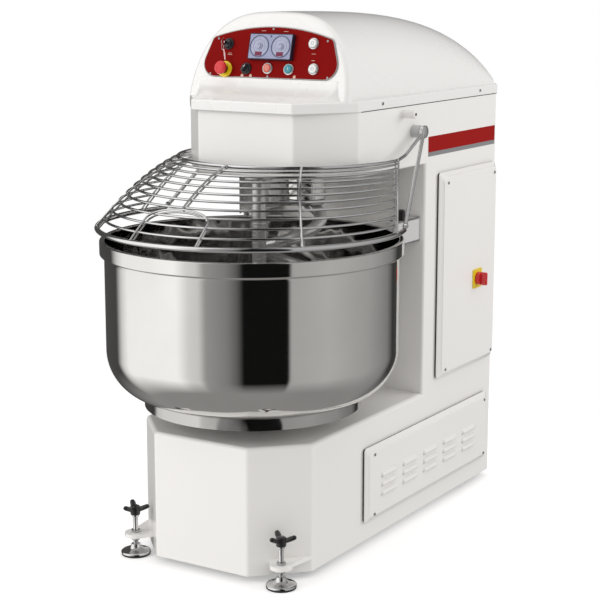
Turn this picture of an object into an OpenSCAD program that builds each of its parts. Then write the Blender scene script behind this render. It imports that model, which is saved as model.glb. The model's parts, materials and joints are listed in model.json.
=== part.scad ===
// Floor-standing spiral dough mixer with a fixed bowl.
// +Z is up and the front faces -Y. +X is the side that carries the isolator switch.
// The origin is on the floor, midway between the front of the guard and the back of the hood.

/* [Body] */
// Width across the body's side faces
body_w = 614; // [600:1:630]
// Thickness of the casing's sheet
sheet = 4; // [3:0.5:5]
// Gap between the base skirt and the floor
ground_gap = 22; // [18:1:30]
// Height of the base's top, in front of the column
base_top = 416; // [410:1:422]
// Height of the head's underside
head_bottom = 1176; // [1170:1:1182]
// Height of the seam between the head and its hood
seam_z = 1370; // [1365:1:1380]
// Distance of the column's rear face behind the origin
rear_y = 766; // [760:1:768]
// Distance of the column's front face behind the origin
column_y = 245; // [240:1:250]

/* [Hood] */
// Height of the hood's lip band
lip_h = 34; // [28:1:38]
// How far the lip stands out in front of the head
lip_out = 22; // [16:1:26]
// Height of the hood's crest above the lip
hood_h = 257; // [250:1:265]
// How far the control panel leans back per unit of height
panel_lean = 0.26; // [0.24:0.01:0.28]

/* [Bowl] */
// Outer radius of the bowl's wall
bowl_r = 450; // [446:1:452]
// Distance of the bowl's axis in front of the origin
bowl_y = 300; // [298:1:302]
// Height of the bowl's underside
bowl_z = 500; // [498:1:504]
// Height of the rim's top
rim_top = 988; // [984:1:992]
// Radius of the bowl's lower corner
bowl_corner = 150; // [140:1:155]

/* [Guard] */
// Radius of the guard's bottom ring
ring_r = 469; // [467:1:470]
// Height of the guard's bottom ring
ring_z = 1025; // [1022:1:1030]
// Rise of the guard from its ring to its top rod
guard_rise = 192; // [188:1:196]
// Number of thin rods between the ring and the top rod
guard_rods_n = 10; // [6:1:11]

/* [Hidden] */

half_w = body_w / 2;
smooth = 64;
eps = 1;

edge_r = 14;
lip_back = 11;

// Plan outlines, anticlockwise from the front left corner
base_outline = [[-168, -588], [168, -588], [half_w, -446], [half_w, 300], [-half_w, 300], [-half_w, -446]];
head_outline = [[-171, -336], [171, -336], [half_w, -187], [half_w, 300], [-half_w, 300], [-half_w, -187]];
column_outline = [[-half_w, column_y], [half_w, column_y], [half_w, rear_y], [-half_w, rear_y]];
lip_outline = [[-181, -336 - lip_out], [181, -336 - lip_out], [half_w, -190], [half_w, rear_y + lip_back],
    [-half_w, rear_y + lip_back], [-half_w, -190]];

// Service openings in the casing: [low y, high y, low z, high z]
door_opening = [352, 722, 474, 1114];
louvre_opening = [-126, 686, 114, 304];
rear_opening_hw = 250;
floor_z = 140;

// Hood
lip_top = seam_z + lip_h;
hood_sheet = 3;
lip_screws_y = [-43, 633];
lip_screws_z = seam_z + 18;
hood_w_front = 289;
hood_w_rear = 301;
hood_front_y = -226;
crest_y = -200;
hood_len = rear_y - crest_y;
hood_power = 3;
shelf_z = 1458;

// Control panel, in its own leaning plane
panel_z = 1462;
panel_angle = atan(panel_lean);
panel_t = 2.5;
panel_arch_r = 681;
panel_h = 160;
bezel_r = 18;
button_r = 13;

// Bowl
bowl_t = 3;
rim_r = 464;
rim_h = 46;
bowl_flat_r = bowl_r - bowl_corner;
skirt_h = 30;
corner_z = bowl_z + bowl_corner;
shaft_r = 35;
run_gap = 0.05;
belt_gap = 0.4;
belt_t = 6;
bowl_pulley_r = 240;
bowl_motor_y = 420;
bowl_motor_pulley_r = 50;
bowl_shelf_z = 250;
shelf_t = 10;
bowl_pulley_z = 190;
pulley_h = 45;

// Spiral
spiral_x = 30;
spiral_y = -38;
spindle_r = 30;
hook_rod_r = 20;
hook_r = 150;
hook_top = 1066;
hook_bottom = 545;
hook_turns = 1.6;
spindle_pulley_r = 200;
spiral_motor_y = 430;
spiral_motor_pulley_r = 62;
spiral_pulley_z = 1346;
spiral_shelf_z = 1318;

// Guard
ring_rod_r = 8;
top_rod_r = 6;
thin_rod_r = 3.3;
rib_rod_r = 3;
guard_shrink = 114;
guard_back = 225;
ring_end = 109;
guard_end = 98;
pivot_y = 155;
pivot_z = 1289;
arm_x = 345;
guard_shaft_r = 12;

// Feet and wheels
foot_x = 269;
foot_y = -560;
wheel_r = 60;
wheel_x = 225;
front_wheel_y = -400;
rear_wheel_y = 600;
axle_r = 8;

// ---------- helpers ----------
function unit(v) = v / norm(v);

// Moves a convex outline's corners inwards by t
function inset_outline(pts, t) = [for (i = [0:len(pts) - 1])
    let (c = pts[i], u = unit(pts[(i + len(pts) - 1) % len(pts)] - c),
         w = unit(pts[(i + 1) % len(pts)] - c), half = acos(u * w) / 2)
    c + unit(u + w) * t / sin(half)];

// Rounds one corner c between its neighbours p and q
function corner_arc(p, c, q, r, n) =
    let (u = unit(p - c), w = unit(q - c), half = acos(u * w) / 2, back = r / tan(half),
         o = c + unit(u + w) * r / sin(half), s = c + u * back - o, e = c + w * back - o,
         a0 = atan2(s[1], s[0]), turn = atan2(s[0] * e[1] - s[1] * e[0], s * e))
    [for (i = [0:n]) o + r * [cos(a0 + turn * i / n), sin(a0 + turn * i / n)]];

function rounded(pts, r, n = 5) = [for (i = [0:len(pts) - 1]) each corner_arc(
    pts[(i + len(pts) - 1) % len(pts)], pts[i], pts[(i + 1) % len(pts)], r, n)];

function arc_pts(c, r, a0, a1, n) = [for (i = [0:n])
    let (a = a0 + (a1 - a0) * i / n) c + r * [cos(a), sin(a)]];

module prism(outline, z0, z1, inset = 0, r = edge_r) {
    translate([0, 0, z0])
        linear_extrude(z1 - z0)
            polygon(rounded(inset_outline(outline, inset), r - inset));
}

module pipe(r_out, r_in, h) {
    difference() {
        cylinder(r = r_out, h = h, $fn = smooth);
        translate([0, 0, -eps]) cylinder(r = r_in, h = h + 2 * eps, $fn = smooth);
    }
}

// Straight round rod between two points
module rod(p, q, r) {
    d = q - p;
    translate(p)
        rotate([0, acos(d[2] / norm(d)), atan2(d[1], d[0])])
            cylinder(r = r, h = norm(d), $fn = 24);
}

// Tube swept along points; refs are directions that never run along the path
module swept(pts, refs, r, sides = 8) {
    n = len(pts);
    tangents = [for (i = [0:n - 1]) unit(pts[min(i + 1, n - 1)] - pts[max(i - 1, 0)])];
    rings = [for (i = [0:n - 1])
        let (s = unit(cross(tangents[i], refs[i])), u = cross(s, tangents[i]))
        for (j = [0:sides - 1]) pts[i] + r * (cos(360 * j / sides) * s + sin(360 * j / sides) * u)];
    skin = [for (i = [0:n - 2], j = [0:sides - 1]) let (k = (j + 1) % sides)
        each [[i * sides + j, (i + 1) * sides + j, (i + 1) * sides + k],
              [i * sides + j, (i + 1) * sides + k, i * sides + k]]];
    last = (n - 1) * sides;
    caps = [for (j = [0:sides - 1]) let (k = (j + 1) % sides)
        each [[n * sides, j, k], [n * sides + 1, last + k, last + j]]];
    polyhedron(concat(rings, [pts[0], pts[n - 1]]), concat(skin, caps));
}

// Both sides of the machine
module both_sides() {
    children();
    mirror([1, 0, 0]) children();
}

// Places children on the leaning control panel: u across, v up the plane, w out of it
module on_panel(u = 0, v = 0, w = 0) {
    translate([0, hood_front_y + panel_lean * (panel_z - lip_top), panel_z])
        rotate([90 - panel_angle, 0, 0])
            translate([u, v, w + 0.02]) children();
}

module at_bowl() {
    translate([0, -bowl_y, 0]) children();
}

module at_spiral() {
    translate([spiral_x, spiral_y, 0]) children();
}

// ---------- casings ----------
module body_casing() {
    color("whitesmoke")
    difference() {
        union() {
            prism(base_outline, ground_gap, base_top);
            prism(column_outline, ground_gap, seam_z, 0, 10);
            prism(head_outline, head_bottom, seam_z);
        }
        prism(base_outline, ground_gap - eps, base_top - sheet, sheet);
        prism(column_outline, ground_gap - eps, seam_z + eps, sheet, 10);
        prism(head_outline, head_bottom + sheet, seam_z + eps, sheet);
        // rear service opening
        translate([-rear_opening_hw, rear_y - 2 * sheet, 130])
            cube([2 * rear_opening_hw, 4 * sheet, 1160]);
        both_sides() {
            side_cut(door_opening);
            side_cut(louvre_opening);
            translate([half_w - 2 * sheet, pivot_y, pivot_z])
                rotate([0, 90, 0]) cylinder(r = guard_shaft_r + 2, h = 4 * sheet, $fn = smooth);
        }
        // bowl bearing and spindle housing
        translate([0, -bowl_y, base_top - 2 * sheet])
            cylinder(r = 92, h = 4 * sheet, $fn = smooth);
        translate([spiral_x, spiral_y, head_bottom - sheet])
            cylinder(r = 67, h = 4 * sheet, $fn = smooth);
    }
}

module side_cut(box) {
    translate([half_w - 2 * sheet, box[0], box[2]])
        cube([4 * sheet, box[1] - box[0], box[3] - box[2]]);
}

// Shelf across the casing that carries a motor; the hole lets its shaft through
module motor_shelf(y0, y1, z, hole) {
    difference() {
        translate([-half_w + sheet, y0, z]) cube([body_w - 2 * sheet, y1 - y0, shelf_t]);
        translate([hole[0], hole[1], z - eps]) cylinder(r = hole[2], h = shelf_t + 2 * eps, $fn = smooth);
    }
}

// Floor plate and motor shelves, welded between the casing's walls
module inner_frame() {
    outline = [base_outline[0], base_outline[1], base_outline[2], [half_w, rear_y], [-half_w, rear_y],
        base_outline[5]];
    color("gray") {
        prism(outline, floor_z, floor_z + 8, sheet);
        motor_shelf(290, 550, bowl_shelf_z, [0, bowl_motor_y, 60]);
        motor_shelf(270, 590, spiral_shelf_z, [spiral_x, spiral_motor_y, 70]);
    }
}

function hood_top(y) = let (t = min(1, max(0, (y - crest_y) / hood_len)))
    hood_h * pow(max(0, 1 - t * t * t), 1 / 3);

// One arch of the hood: base position y, lean, half width and height above z0
function hood_arch(y, lean, w, h, z0, n) = [for (i = [0:n])
    let (a = 180 * i / n, c = cos(a), up = h * sin(a))
    [w * sign(c) * pow(abs(c), 2 / hood_power), y + lean * up, z0 + up]];

module hood_solid(inset) {
    n = 32;
    z0 = lip_top - inset;
    edge_back = [0, 3, 10];
    edge_drop = [10, 3, 0];
    face = [for (i = [0:2]) hood_arch(hood_front_y + inset + edge_back[i], panel_lean,
        hood_w_front - inset - edge_drop[i], hood_h - inset - edge_drop[i], z0, n)];
    steps = 16;
    body = [for (k = [1:steps])
        let (s = sin(90 * k / steps), y = hood_front_y + edge_back[2] + inset + (hood_len - 2 * inset) * s,
             lean = panel_lean * max(0, 1 - 2.2 * s), w = hood_w_front + (hood_w_rear - hood_w_front) * s)
        hood_arch(y, lean, w - inset, max(4, hood_top(y + lean * hood_h) - inset), z0, n)];
    arches = concat(face, body);
    m = len(arches);
    pts = [for (a = arches) each a];
    skin = [for (i = [0:m - 2], j = [0:n - 1])
        let (a = i * (n + 1) + j, b = a + 1, c = a + n + 1, d = c + 1) each [[a, b, c], [b, d, c]]];
    floor_strip = [for (i = [0:m - 2])
        let (a = i * (n + 1), b = a + n, c = a + n + 1, d = c + n) each [[a, c, b], [b, c, d]]];
    front = [[for (j = [n:-1:0]) j]];
    back = [[for (j = [0:n]) (m - 1) * (n + 1) + j]];
    polyhedron(pts, concat(skin, floor_strip, front, back));
}

// Sloping shelf between the lip's front and the control panel's foot
module hood_shelf(inset) {
    low = inset_outline([[-168, -350], [168, -350], [290, -200], [290, -150], [-290, -150],
        [-290, -200]], inset);
    hull() {
        translate([0, 0, lip_top - eps - inset]) linear_extrude(eps) polygon(low);
        translate([-262 + inset, -212 + inset, shelf_z - eps - inset]) cube([524 - 2 * inset, 60, eps]);
    }
}

module top_cover() {
    color("white")
    difference() {
        union() {
            prism(lip_outline, seam_z, lip_top);
            hood_solid(0);
            hood_shelf(0);
        }
        prism(lip_outline, seam_z + hood_sheet, lip_top - hood_sheet, hood_sheet);
        for (outline = [head_outline, column_outline])
            prism(outline, seam_z - eps, seam_z + hood_sheet + eps, sheet);
        hood_solid(hood_sheet);
        hood_shelf(hood_sheet);
        both_sides()
            for (y = lip_screws_y)
                translate([half_w - 6, y, lip_screws_z])
                    rotate([0, 90, 0]) cylinder(r = 3.2, h = 10, $fn = 24);
    }
}

module rear_cover() {
    color("whitesmoke")
    difference() {
        translate([-265, rear_y, 115]) cube([530, 3, 1190]);
        for (z = [300:60:540])
            translate([-150, rear_y - eps, z]) cube([300, 5, 12]);
    }
}

// Raised tray with sloping edges; lies in the YZ plane and stands out along +X
module tray(box, depth, r, slope) {
    y0 = box[0];
    z0 = box[2];
    w = box[1] - box[0];
    h = box[3] - box[2];
    translate([half_w, y0, z0])
        rotate([90, 0, 90])
            hull() {
                linear_extrude(eps)
                    polygon(rounded([[0, 0], [w, 0], [w, h], [0, h]], r));
                translate([0, 0, depth - eps])
                    linear_extrude(eps)
                        polygon(rounded([[slope, slope], [w - slope, slope], [w - slope, h - slope],
                            [slope, h - slope]], r));
            }
}

module hollow_tray(box, depth, r, slope) {
    t = 2.5;
    difference() {
        tray(box, depth, r, slope);
        translate([-t, 0, 0])
            tray([box[0] + t + 1, box[1] - t - 1, box[2] + t + 1, box[3] - t - 1], depth, r - t, slope);
    }
}

door_box = [326, 744, 449, 1139];
door_depth = 23;

module side_door() {
    color("whitesmoke") hollow_tray(door_box, door_depth, 22, 9);
}

module left_cover() {
    color("whitesmoke") mirror([1, 0, 0]) hollow_tray(door_box, door_depth, 22, 9);
}

louvre_box = [-150, 712, 84, 326];
louvre_depth = 20;
louvre_w = 101;

module louvre_place() {
    for (i = [0:4], z = [160:30:220])
        translate([half_w + louvre_depth, -66 + 142 * i, z]) children();
}

// Pressed scoop over one vent slot
module louvre_scoop() {
    rotate([-90, 0, 0])
        linear_extrude(louvre_w)
            difference() {
                polygon([[-2.5, -14], [0, -14], [7, 0], [-2.5, 0]]);
                polygon([[-3, -11], [-1, -11], [5, 1], [-3, 1]]);
            }
}

module louvre_panels() {
    color("whitesmoke")
    both_sides() {
        difference() {
            hollow_tray(louvre_box, louvre_depth, 22, 18);
            louvre_place() translate([-6, 2, 0]) cube([12, louvre_w - 4, 10]);
        }
        louvre_place() louvre_scoop();
    }
}

stripe_y = 260;
stripe_len = rear_y - 12 - stripe_y;

module side_stripes() {
    color("darkred")
    both_sides() {
        translate([half_w, stripe_y, 1212]) cube([1, stripe_len, 50]);
        translate([half_w, stripe_y, 1198]) cube([1, stripe_len, 13.5]);
    }
}

module screw_x(x, y, z) {
    translate([x, y, z])
        rotate([0, 90, 0]) {
            cylinder(r = 5, h = 3, $fn = 24);
            translate([0, 0, -4]) cylinder(r = 2.6, h = 4.5, $fn = 24);
        }
}

module cover_screws() {
    color("silver") {
        both_sides() {
            for (y = lip_screws_y) screw_x(half_w, y, lip_screws_z);
            for (y = [364, 714], z = [476, 1104]) screw_x(half_w + door_depth, y, z);
            for (y = [-106, 680], z = [105, 300]) screw_x(half_w + louvre_depth, y, z);
        }
        for (u = [-212, 212]) panel_screw(u, 9);
        for (u = [-197, 197]) panel_screw(u, 119);
        panel_screw(0, 6);
        panel_screw(0, 152);
    }
}

module panel_screw(u, v) {
    on_panel(u, v, panel_t) cylinder(r = 3.5, h = 1.5, $fn = 24);
}

// ---------- control panel ----------
module control_panel() {
    arch = arc_pts([0, panel_h - panel_arch_r], panel_arch_r, 90 - 16.5, 90 + 16.5, 16);
    corner_low = [260, 0];
    corner_high = [217, 125];
    left = [for (p = [corner_high, corner_low]) [-p[0], p[1]]];
    color("darkred")
    on_panel()
        linear_extrude(panel_t)
            polygon(concat(
                corner_arc([0, 0], corner_low, corner_high, 45, 8),
                corner_arc(corner_low, corner_high, arch[0], 26, 6),
                arch,
                corner_arc(arch[16], left[0], left[1], 26, 6),
                corner_arc(left[0], left[1], [0, 0], 45, 8)));
}

// Positions of the round devices: [across, up]
key_at = [-156, 103];
estop_at = [-158, 24];
mode_at = [-80, 28];
stop_at = [-2, 31];
start_at = [74, 30];
upper_white_at = [150, 110];
lower_white_at = [161, 33];
timer_box_at = [-72, 55];
timer_box_size = [155, 80, 16];
timer_knobs = [[-33, 95], [44, 95]];

module button_bezels() {
    color("silver")
    for (p = [key_at, mode_at, stop_at, start_at, upper_white_at, lower_white_at])
        on_panel(p[0], p[1], panel_t) pipe(bezel_r, button_r + 0.3, 6);
}

module estop_collar() {
    color("gold") on_panel(estop_at[0], estop_at[1], panel_t) pipe(25, 12, 5);
}

module estop_button() {
    color("red")
    on_panel(estop_at[0], estop_at[1], 9) {
        cylinder(r = 11, h = 14, $fn = smooth);
        translate([0, 0, 13]) cylinder(r1 = 17, r2 = 21, h = 5, $fn = smooth);
        translate([0, 0, 18]) cylinder(r = 21, h = 5, $fn = smooth);
        translate([0, 0, 23]) cylinder(r1 = 21, r2 = 15, h = 5, $fn = smooth);
    }
}

module push_button(at, tint) {
    color(tint)
    on_panel(at[0], at[1], 6.2) {
        cylinder(r = button_r, h = 5, $fn = smooth);
        translate([0, 0, 5]) cylinder(r1 = button_r, r2 = button_r - 2, h = 1.5, $fn = smooth);
    }
}

module stop_button() {
    push_button(stop_at, "salmon");
}

module start_button() {
    push_button(start_at, "teal");
}

module upper_white_button() {
    push_button(upper_white_at, "white");
}

module lower_white_button() {
    push_button(lower_white_at, "white");
}

module key_selector() {
    color("dimgray")
    on_panel(key_at[0], key_at[1], 3) {
        cylinder(r = button_r, h = 12, $fn = smooth);
        translate([-1.2, -4, 12]) cube([2.4, 8, 14]);
        translate([-1.2, 0, 32]) rotate([0, 90, 0]) cylinder(r = 11, h = 2.4, $fn = smooth);
    }
}

module mode_selector() {
    color("black")
    on_panel(mode_at[0], mode_at[1], 3)
        rotate([0, 0, -40]) {
            cylinder(r = button_r, h = 9, $fn = smooth);
            translate([-3.5, -12, 9]) cube([7, 24, 12]);
        }
}

module timer_box() {
    color("lightsteelblue") {
        on_panel(timer_box_at[0], timer_box_at[1], panel_t) cube(timer_box_size);
        for (p = timer_knobs)
            on_panel(p[0], p[1], panel_t + timer_box_size[2]) pipe(33, 28, 1.5);
    }
}

module timer_knob(at) {
    color("lightgray")
    on_panel(at[0], at[1], panel_t + timer_box_size[2] + 0.3) {
        cylinder(r = 12, h = 3, $fn = smooth);
        translate([-2, -11, 3]) cube([4, 22, 5]);
    }
}

module timer_knob_left() {
    timer_knob(timer_knobs[0]);
}

module timer_knob_right() {
    timer_knob(timer_knobs[1]);
}

isolator_at = [half_w + door_depth, 590, 752];

module isolator_plate() {
    color("gold")
    translate(isolator_at + [0, -33, -33]) cube([4, 66, 66]);
}

module isolator_knob() {
    color("red")
    translate(isolator_at + [4.3, 0, 0])
        rotate([0, 90, 0]) {
            cylinder(r = 22, h = 14, $fn = smooth);
            translate([-23, -6, 14]) cube([46, 12, 22]);
        }
}

// ---------- bowl and its drive ----------
// Bowl outline, from the axis outwards and up, then back inside
function bowl_profile() = concat(
    [[0, bowl_z]],
    arc_pts([bowl_flat_r, corner_z], bowl_corner, -90, 0, 12),
    [[bowl_r, rim_top - rim_h], [rim_r, rim_top - rim_h], [rim_r, rim_top], [bowl_r - bowl_t, rim_top]],
    arc_pts([bowl_flat_r, corner_z], bowl_corner - bowl_t, 0, -78, 12),
    [[0, bowl_z + 6]]);

module bowl() {
    color("silver")
    at_bowl() {
        rotate_extrude($fn = 96) polygon(bowl_profile());
        // skirt welded under the bowl
        translate([0, 0, bowl_z - skirt_h]) pipe(336, 330, skirt_h + 5.5);
    }
}

module bowl_shaft() {
    color("gray")
    at_bowl() {
        translate([0, 0, 170]) cylinder(r = shaft_r, h = bowl_z - 14 - 170, $fn = smooth);
        translate([0, 0, bowl_z - 14]) cylinder(r = 120, h = 14, $fn = smooth);
    }
}

module bowl_bearing_housing() {
    color("dimgray")
    at_bowl() {
        translate([0, 0, 280]) pipe(90, shaft_r + run_gap, 160);
        translate([0, 0, base_top]) pipe(150, 89, 12);
    }
}

module pulley(r, bore_r, h) {
    difference() {
        cylinder(r = r, h = h, $fn = 96);
        translate([0, 0, 8]) pipe(r - 14, bore_r + 16, h);
        translate([0, 0, -eps]) cylinder(r = bore_r, h = h + 2 * eps, $fn = smooth);
    }
}

module bowl_pulley() {
    color("slategray")
    at_bowl() translate([0, 0, bowl_pulley_z]) pulley(bowl_pulley_r, shaft_r, pulley_h);
}

// Outline round two circles: ra at the origin, rb at distance d along +Y
module belt_loop(ra, rb, d) {
    lift = asin((ra - rb) / d);
    small_side = arc_pts([0, d], rb, lift, 180 - lift, 24);
    polygon(concat(small_side, arc_pts([0, 0], ra, 180 - lift, 360 + lift, 48)));
}

module belt(ra, rb, d, h) {
    linear_extrude(h)
        difference() {
            belt_loop(ra + belt_gap + belt_t, rb + belt_gap + belt_t, d);
            belt_loop(ra + belt_gap, rb + belt_gap, d);
        }
}

module bowl_belt() {
    color("black")
    at_bowl() translate([0, 0, bowl_pulley_z + 5])
        belt(bowl_pulley_r, bowl_motor_pulley_r, bowl_motor_y + bowl_y, pulley_h - 10);
}

// Electric motor standing on its flange, with cooling ribs
module motor(r, h) {
    cylinder(r = r + 18, h = 12, $fn = smooth);
    cylinder(r = r - 8, h = h - 40, $fn = smooth);
    for (a = [0:15:345])
        rotate([0, 0, a]) translate([r - 10, -1.5, 20]) cube([10, 3, h - 70]);
    translate([0, 0, h - 41]) cylinder(r = r, h = 41, $fn = smooth);
}

module bowl_motor() {
    color("steelblue")
    translate([0, bowl_motor_y, bowl_shelf_z + shelf_t]) motor(100, 260);
}

module motor_pulley(r, z0, shaft_from, shaft_to) {
    translate([0, 0, z0]) pulley(r, 14, pulley_h);
    translate([0, 0, shaft_from]) cylinder(r = 14, h = shaft_to - shaft_from, $fn = smooth);
}

module bowl_motor_pulley() {
    color("slategray")
    translate([0, bowl_motor_y, 0])
        motor_pulley(bowl_motor_pulley_r, bowl_pulley_z, bowl_pulley_z - 5, bowl_shelf_z + shelf_t - 0.5);
}

// ---------- spiral and its drive ----------
module spindle_housing() {
    color("silver")
    at_spiral() {
        translate([0, 0, 1080]) pipe(65, spindle_r + run_gap, 250);
        translate([0, 0, head_bottom + sheet]) pipe(100, 64, 12);
    }
}

module spindle() {
    color("lightgray")
    at_spiral() {
        translate([0, 0, 1062]) cylinder(r = spindle_r, h = 340, $fn = smooth);
        translate([0, 0, 1062]) cylinder(r = 62, h = 17, $fn = smooth);
    }
}

// Distance of the hook's rod from the spindle axis at height z, kept clear of the bowl's corner
function hook_reach(z) = let (rise = max(0, corner_z - z), room = bowl_corner - bowl_t - hook_rod_r - 10)
    min(hook_r, bowl_flat_r + sqrt(max(1, room * room - rise * rise)) - bowl_y - spiral_y - 2);

function hook_point(t) =
    let (z = hook_top - (hook_top - hook_bottom) * (t < 0.12 ? 1.1 * t : 0.132 + (t - 0.12) * 0.868 / 0.88),
         out = sin(90 * min(1, t / 0.22)), a = 20 - 360 * hook_turns * t, r = 8 + (hook_reach(z) - 8) * out)
    [r * cos(a), r * sin(a), z];

module spiral_hook() {
    steps = 56;
    pts = [for (i = [0:steps]) hook_point(i / steps)];
    color("silver")
    at_spiral()
        swept(pts, [for (p = pts) [0, 0, 1]], hook_rod_r, 12);
}

module spindle_pulley() {
    color("slategray")
    at_spiral() translate([0, 0, spiral_pulley_z]) pulley(spindle_pulley_r, spindle_r, pulley_h);
}

module spiral_belt() {
    color("black")
    at_spiral() translate([0, 0, spiral_pulley_z + 5])
        belt(spindle_pulley_r, spiral_motor_pulley_r, spiral_motor_y - spiral_y, pulley_h - 10);
}

module spiral_motor() {
    color("steelblue")
    translate([spiral_x, spiral_motor_y, spiral_shelf_z]) mirror([0, 0, 1]) motor(122, 330);
}

module spiral_motor_pulley() {
    color("slategray")
    translate([spiral_x, spiral_motor_y, 0])
        motor_pulley(spiral_motor_pulley_r, spiral_pulley_z, spiral_shelf_z + 0.5,
            spiral_pulley_z + pulley_h + 5);
}

module breaker_bar() {
    color("silver")
    translate([0, -262, 0]) {
        translate([0, 0, 545]) cylinder(r = 22, h = head_bottom - 545, $fn = smooth);
        translate([0, 0, 535]) cylinder(r1 = 14, r2 = 22, h = 10, $fn = smooth);
        translate([0, 0, head_bottom - 14]) cylinder(r = 48, h = 14, $fn = smooth);
    }
}

module dough_deflector() {
    color("silver")
    at_spiral() {
        translate([0, 0, 1026])
            rotate([0, 0, 120])
                rotate_extrude(angle = 85, $fn = 96) translate([210, 0]) square([3, head_bottom - 1026]);
        for (a = [130, 195])
            rotate([0, 0, a]) translate([200, -15, head_bottom - 4]) cube([12, 30, 4]);
    }
}

// ---------- bowl guard ----------
function dome_r(s) = ring_r - guard_shrink * s;
function dome_z(s) = ring_z + guard_rise * (1.54 * s - 0.54 * s * s);

// Direction out of the guard's surface at azimuth a, measured from the front towards +X
function dome_out(a) = let (run = guard_shrink + guard_back * cos(a), b = atan(run / guard_rise))
    [sin(a) * cos(b), -cos(a) * cos(b), sin(b)];

// Point of the guard's surface at level s (0 ring, 1 top rod) and azimuth a, moved out by off
function dome_point(s, a, off = 0) =
    [dome_r(s) * sin(a), guard_back * s - bowl_y - dome_r(s) * cos(a), dome_z(s)] + off * dome_out(a);

// Arc of round rod at level s, to end degrees on both sides of the front
module dome_arc(s, end, r) {
    translate([0, guard_back * s - bowl_y, dome_z(s)])
        rotate([0, 0, -90 - end])
            rotate_extrude(angle = 2 * end, $fn = 120)
                translate([dome_r(s), 0]) circle(r = r, $fn = 20);
}

module guard_frame() {
    color("silver") {
        dome_arc(0, ring_end, ring_rod_r);
        dome_arc(1, guard_end, top_rod_r);
        both_sides() {
            top_end = dome_point(1, guard_end);
            bend = [arm_x, 32, 1226];
            hub = [arm_x, pivot_y, pivot_z];
            ring_tip = dome_point(0, ring_end);
            foot = ring_tip + [0, 0, 4];
            rod(top_end, bend, top_rod_r);
            rod(bend, hub, top_rod_r);
            rod(foot, hub, top_rod_r);
            for (p = [top_end, bend, hub]) translate(p) sphere(r = top_rod_r + 0.3, $fn = 24);
            translate(ring_tip) sphere(r = ring_rod_r + 0.3, $fn = 24);
        }
    }
}

module guard_rods() {
    color("silver")
    for (k = [1:guard_rods_n]) dome_arc(k / (guard_rods_n + 1), guard_end, thin_rod_r);
}

// Levels of the guard that a rib runs through
function levels(s0, s1, n) = [for (i = [0:n]) s0 + (s1 - s0) * i / n];

// Two ribs, one on each side of the rods, along a list of [level, azimuth]
module rib_pair(path, gap = thin_rod_r + rib_rod_r - 1) {
    for (off = [-gap, gap])
        swept([for (p = path) dome_point(p[0], p[1], off)], [for (p = path) dome_out(p[1])], rib_rod_r);
}

// Arched frame of the filling place at the front
module filling_frame() {
    half = 14;
    top = 0.33;
    side = levels(0, 0.2, 3);
    path = concat(
        [for (s = side) [s, -half]],
        [for (i = [1:11]) let (a = 180 - 15 * i) [0.2 + (top - 0.2) * sin(a), half * cos(a)]],
        [for (i = [3:-1:0]) [side[i], half]]);
    rib_pair(path);
}

module guard_ribs() {
    color("silver") {
        both_sides() {
            rib_pair([for (s = levels(0, 1, 10)) [s, 51 - 14 * s]]);
            rib_pair([for (s = levels(0, 1, 10)) [s, guard_end - 1]]);
        }
        rib_pair([for (s = levels(0.34, 1, 7)) [s, 0]]);
        filling_frame();
    }
}

module guard_shaft() {
    color("silver")
    translate([0, pivot_y, pivot_z])
        rotate([0, 90, 0]) {
            translate([0, 0, -arm_x]) cylinder(r = guard_shaft_r, h = 2 * arm_x, $fn = smooth);
            for (x = [-arm_x - 9, arm_x - 7])
                translate([0, 0, x]) cylinder(r = 21, h = 16, $fn = smooth);
            translate([0, 0, -270]) cylinder(r = 22, h = 12, $fn = smooth);
        }
}

stop_y = 87;
stop_z = 1348;
stop_len = 46;

module guard_bosses_and_stops() {
    color("gainsboro")
    both_sides() {
        translate([half_w, pivot_y, pivot_z])
            rotate([0, 90, 0]) pipe(20, guard_shaft_r + run_gap, arm_x - 7 - half_w - 0.5);
        translate([half_w, stop_y, stop_z])
            rotate([0, 90, 0]) cylinder(r = 12.5, h = stop_len, $fn = smooth);
    }
}

module guard_switch() {
    color("dimgray") {
        translate([-half_w + sheet, pivot_y + 26, pivot_z - 30]) cube([52, 40, 60]);
        translate([-265, pivot_y + 24.5, pivot_z - 6]) cube([8, 2, 12]);
    }
}

// ---------- bowl side rollers ----------
roller_x = 262;
roller_r = 18;
roller_y = -bowl_y + sqrt(pow(rim_r + roller_r + 0.5, 2) - roller_x * roller_x);
bracket_low = 927;
bracket_high = 1005;

module roller_brackets() {
    color("lightgray")
    both_sides() {
        // side plate, rear flange and the two lugs that hold the axle
        translate([roller_x + 22, roller_y - 24, bracket_low])
            cube([6, column_y - roller_y + 24, bracket_high - bracket_low]);
        translate([roller_x - 30, column_y - 6, bracket_low]) cube([58, 6, bracket_high - bracket_low]);
        for (z = [bracket_low, bracket_high - 6])
            difference() {
                translate([roller_x - 20, roller_y - 14, z]) cube([48, column_y - roller_y + 14, 6]);
                translate([roller_x, roller_y, z - eps]) cylinder(r = 6.3, h = 8, $fn = smooth);
            }
    }
    // axles with their cap nuts
    color("black")
    both_sides()
        translate([roller_x, roller_y, 0]) {
            translate([0, 0, bracket_low - 8])
                cylinder(r = 6, h = bracket_high - bracket_low + 16, $fn = smooth);
            translate([0, 0, bracket_low - 32]) cylinder(r = 13, h = 31.7, $fn = smooth);
            translate([0, 0, bracket_high + 0.3]) cylinder(r = 13, h = 34, $fn = smooth);
        }
}

module bowl_roller() {
    color("dimgray")
    translate([roller_x, roller_y, bracket_low + 6.5])
        pipe(roller_r, 6.05, bracket_high - bracket_low - 13);
}

module bowl_roller_left() {
    mirror([1, 0, 0]) bowl_roller();
}

module bowl_roller_right() {
    bowl_roller();
}

// ---------- feet ----------
pad_r = 46;
bracket_z = 60;
screw_r = 8;

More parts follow.
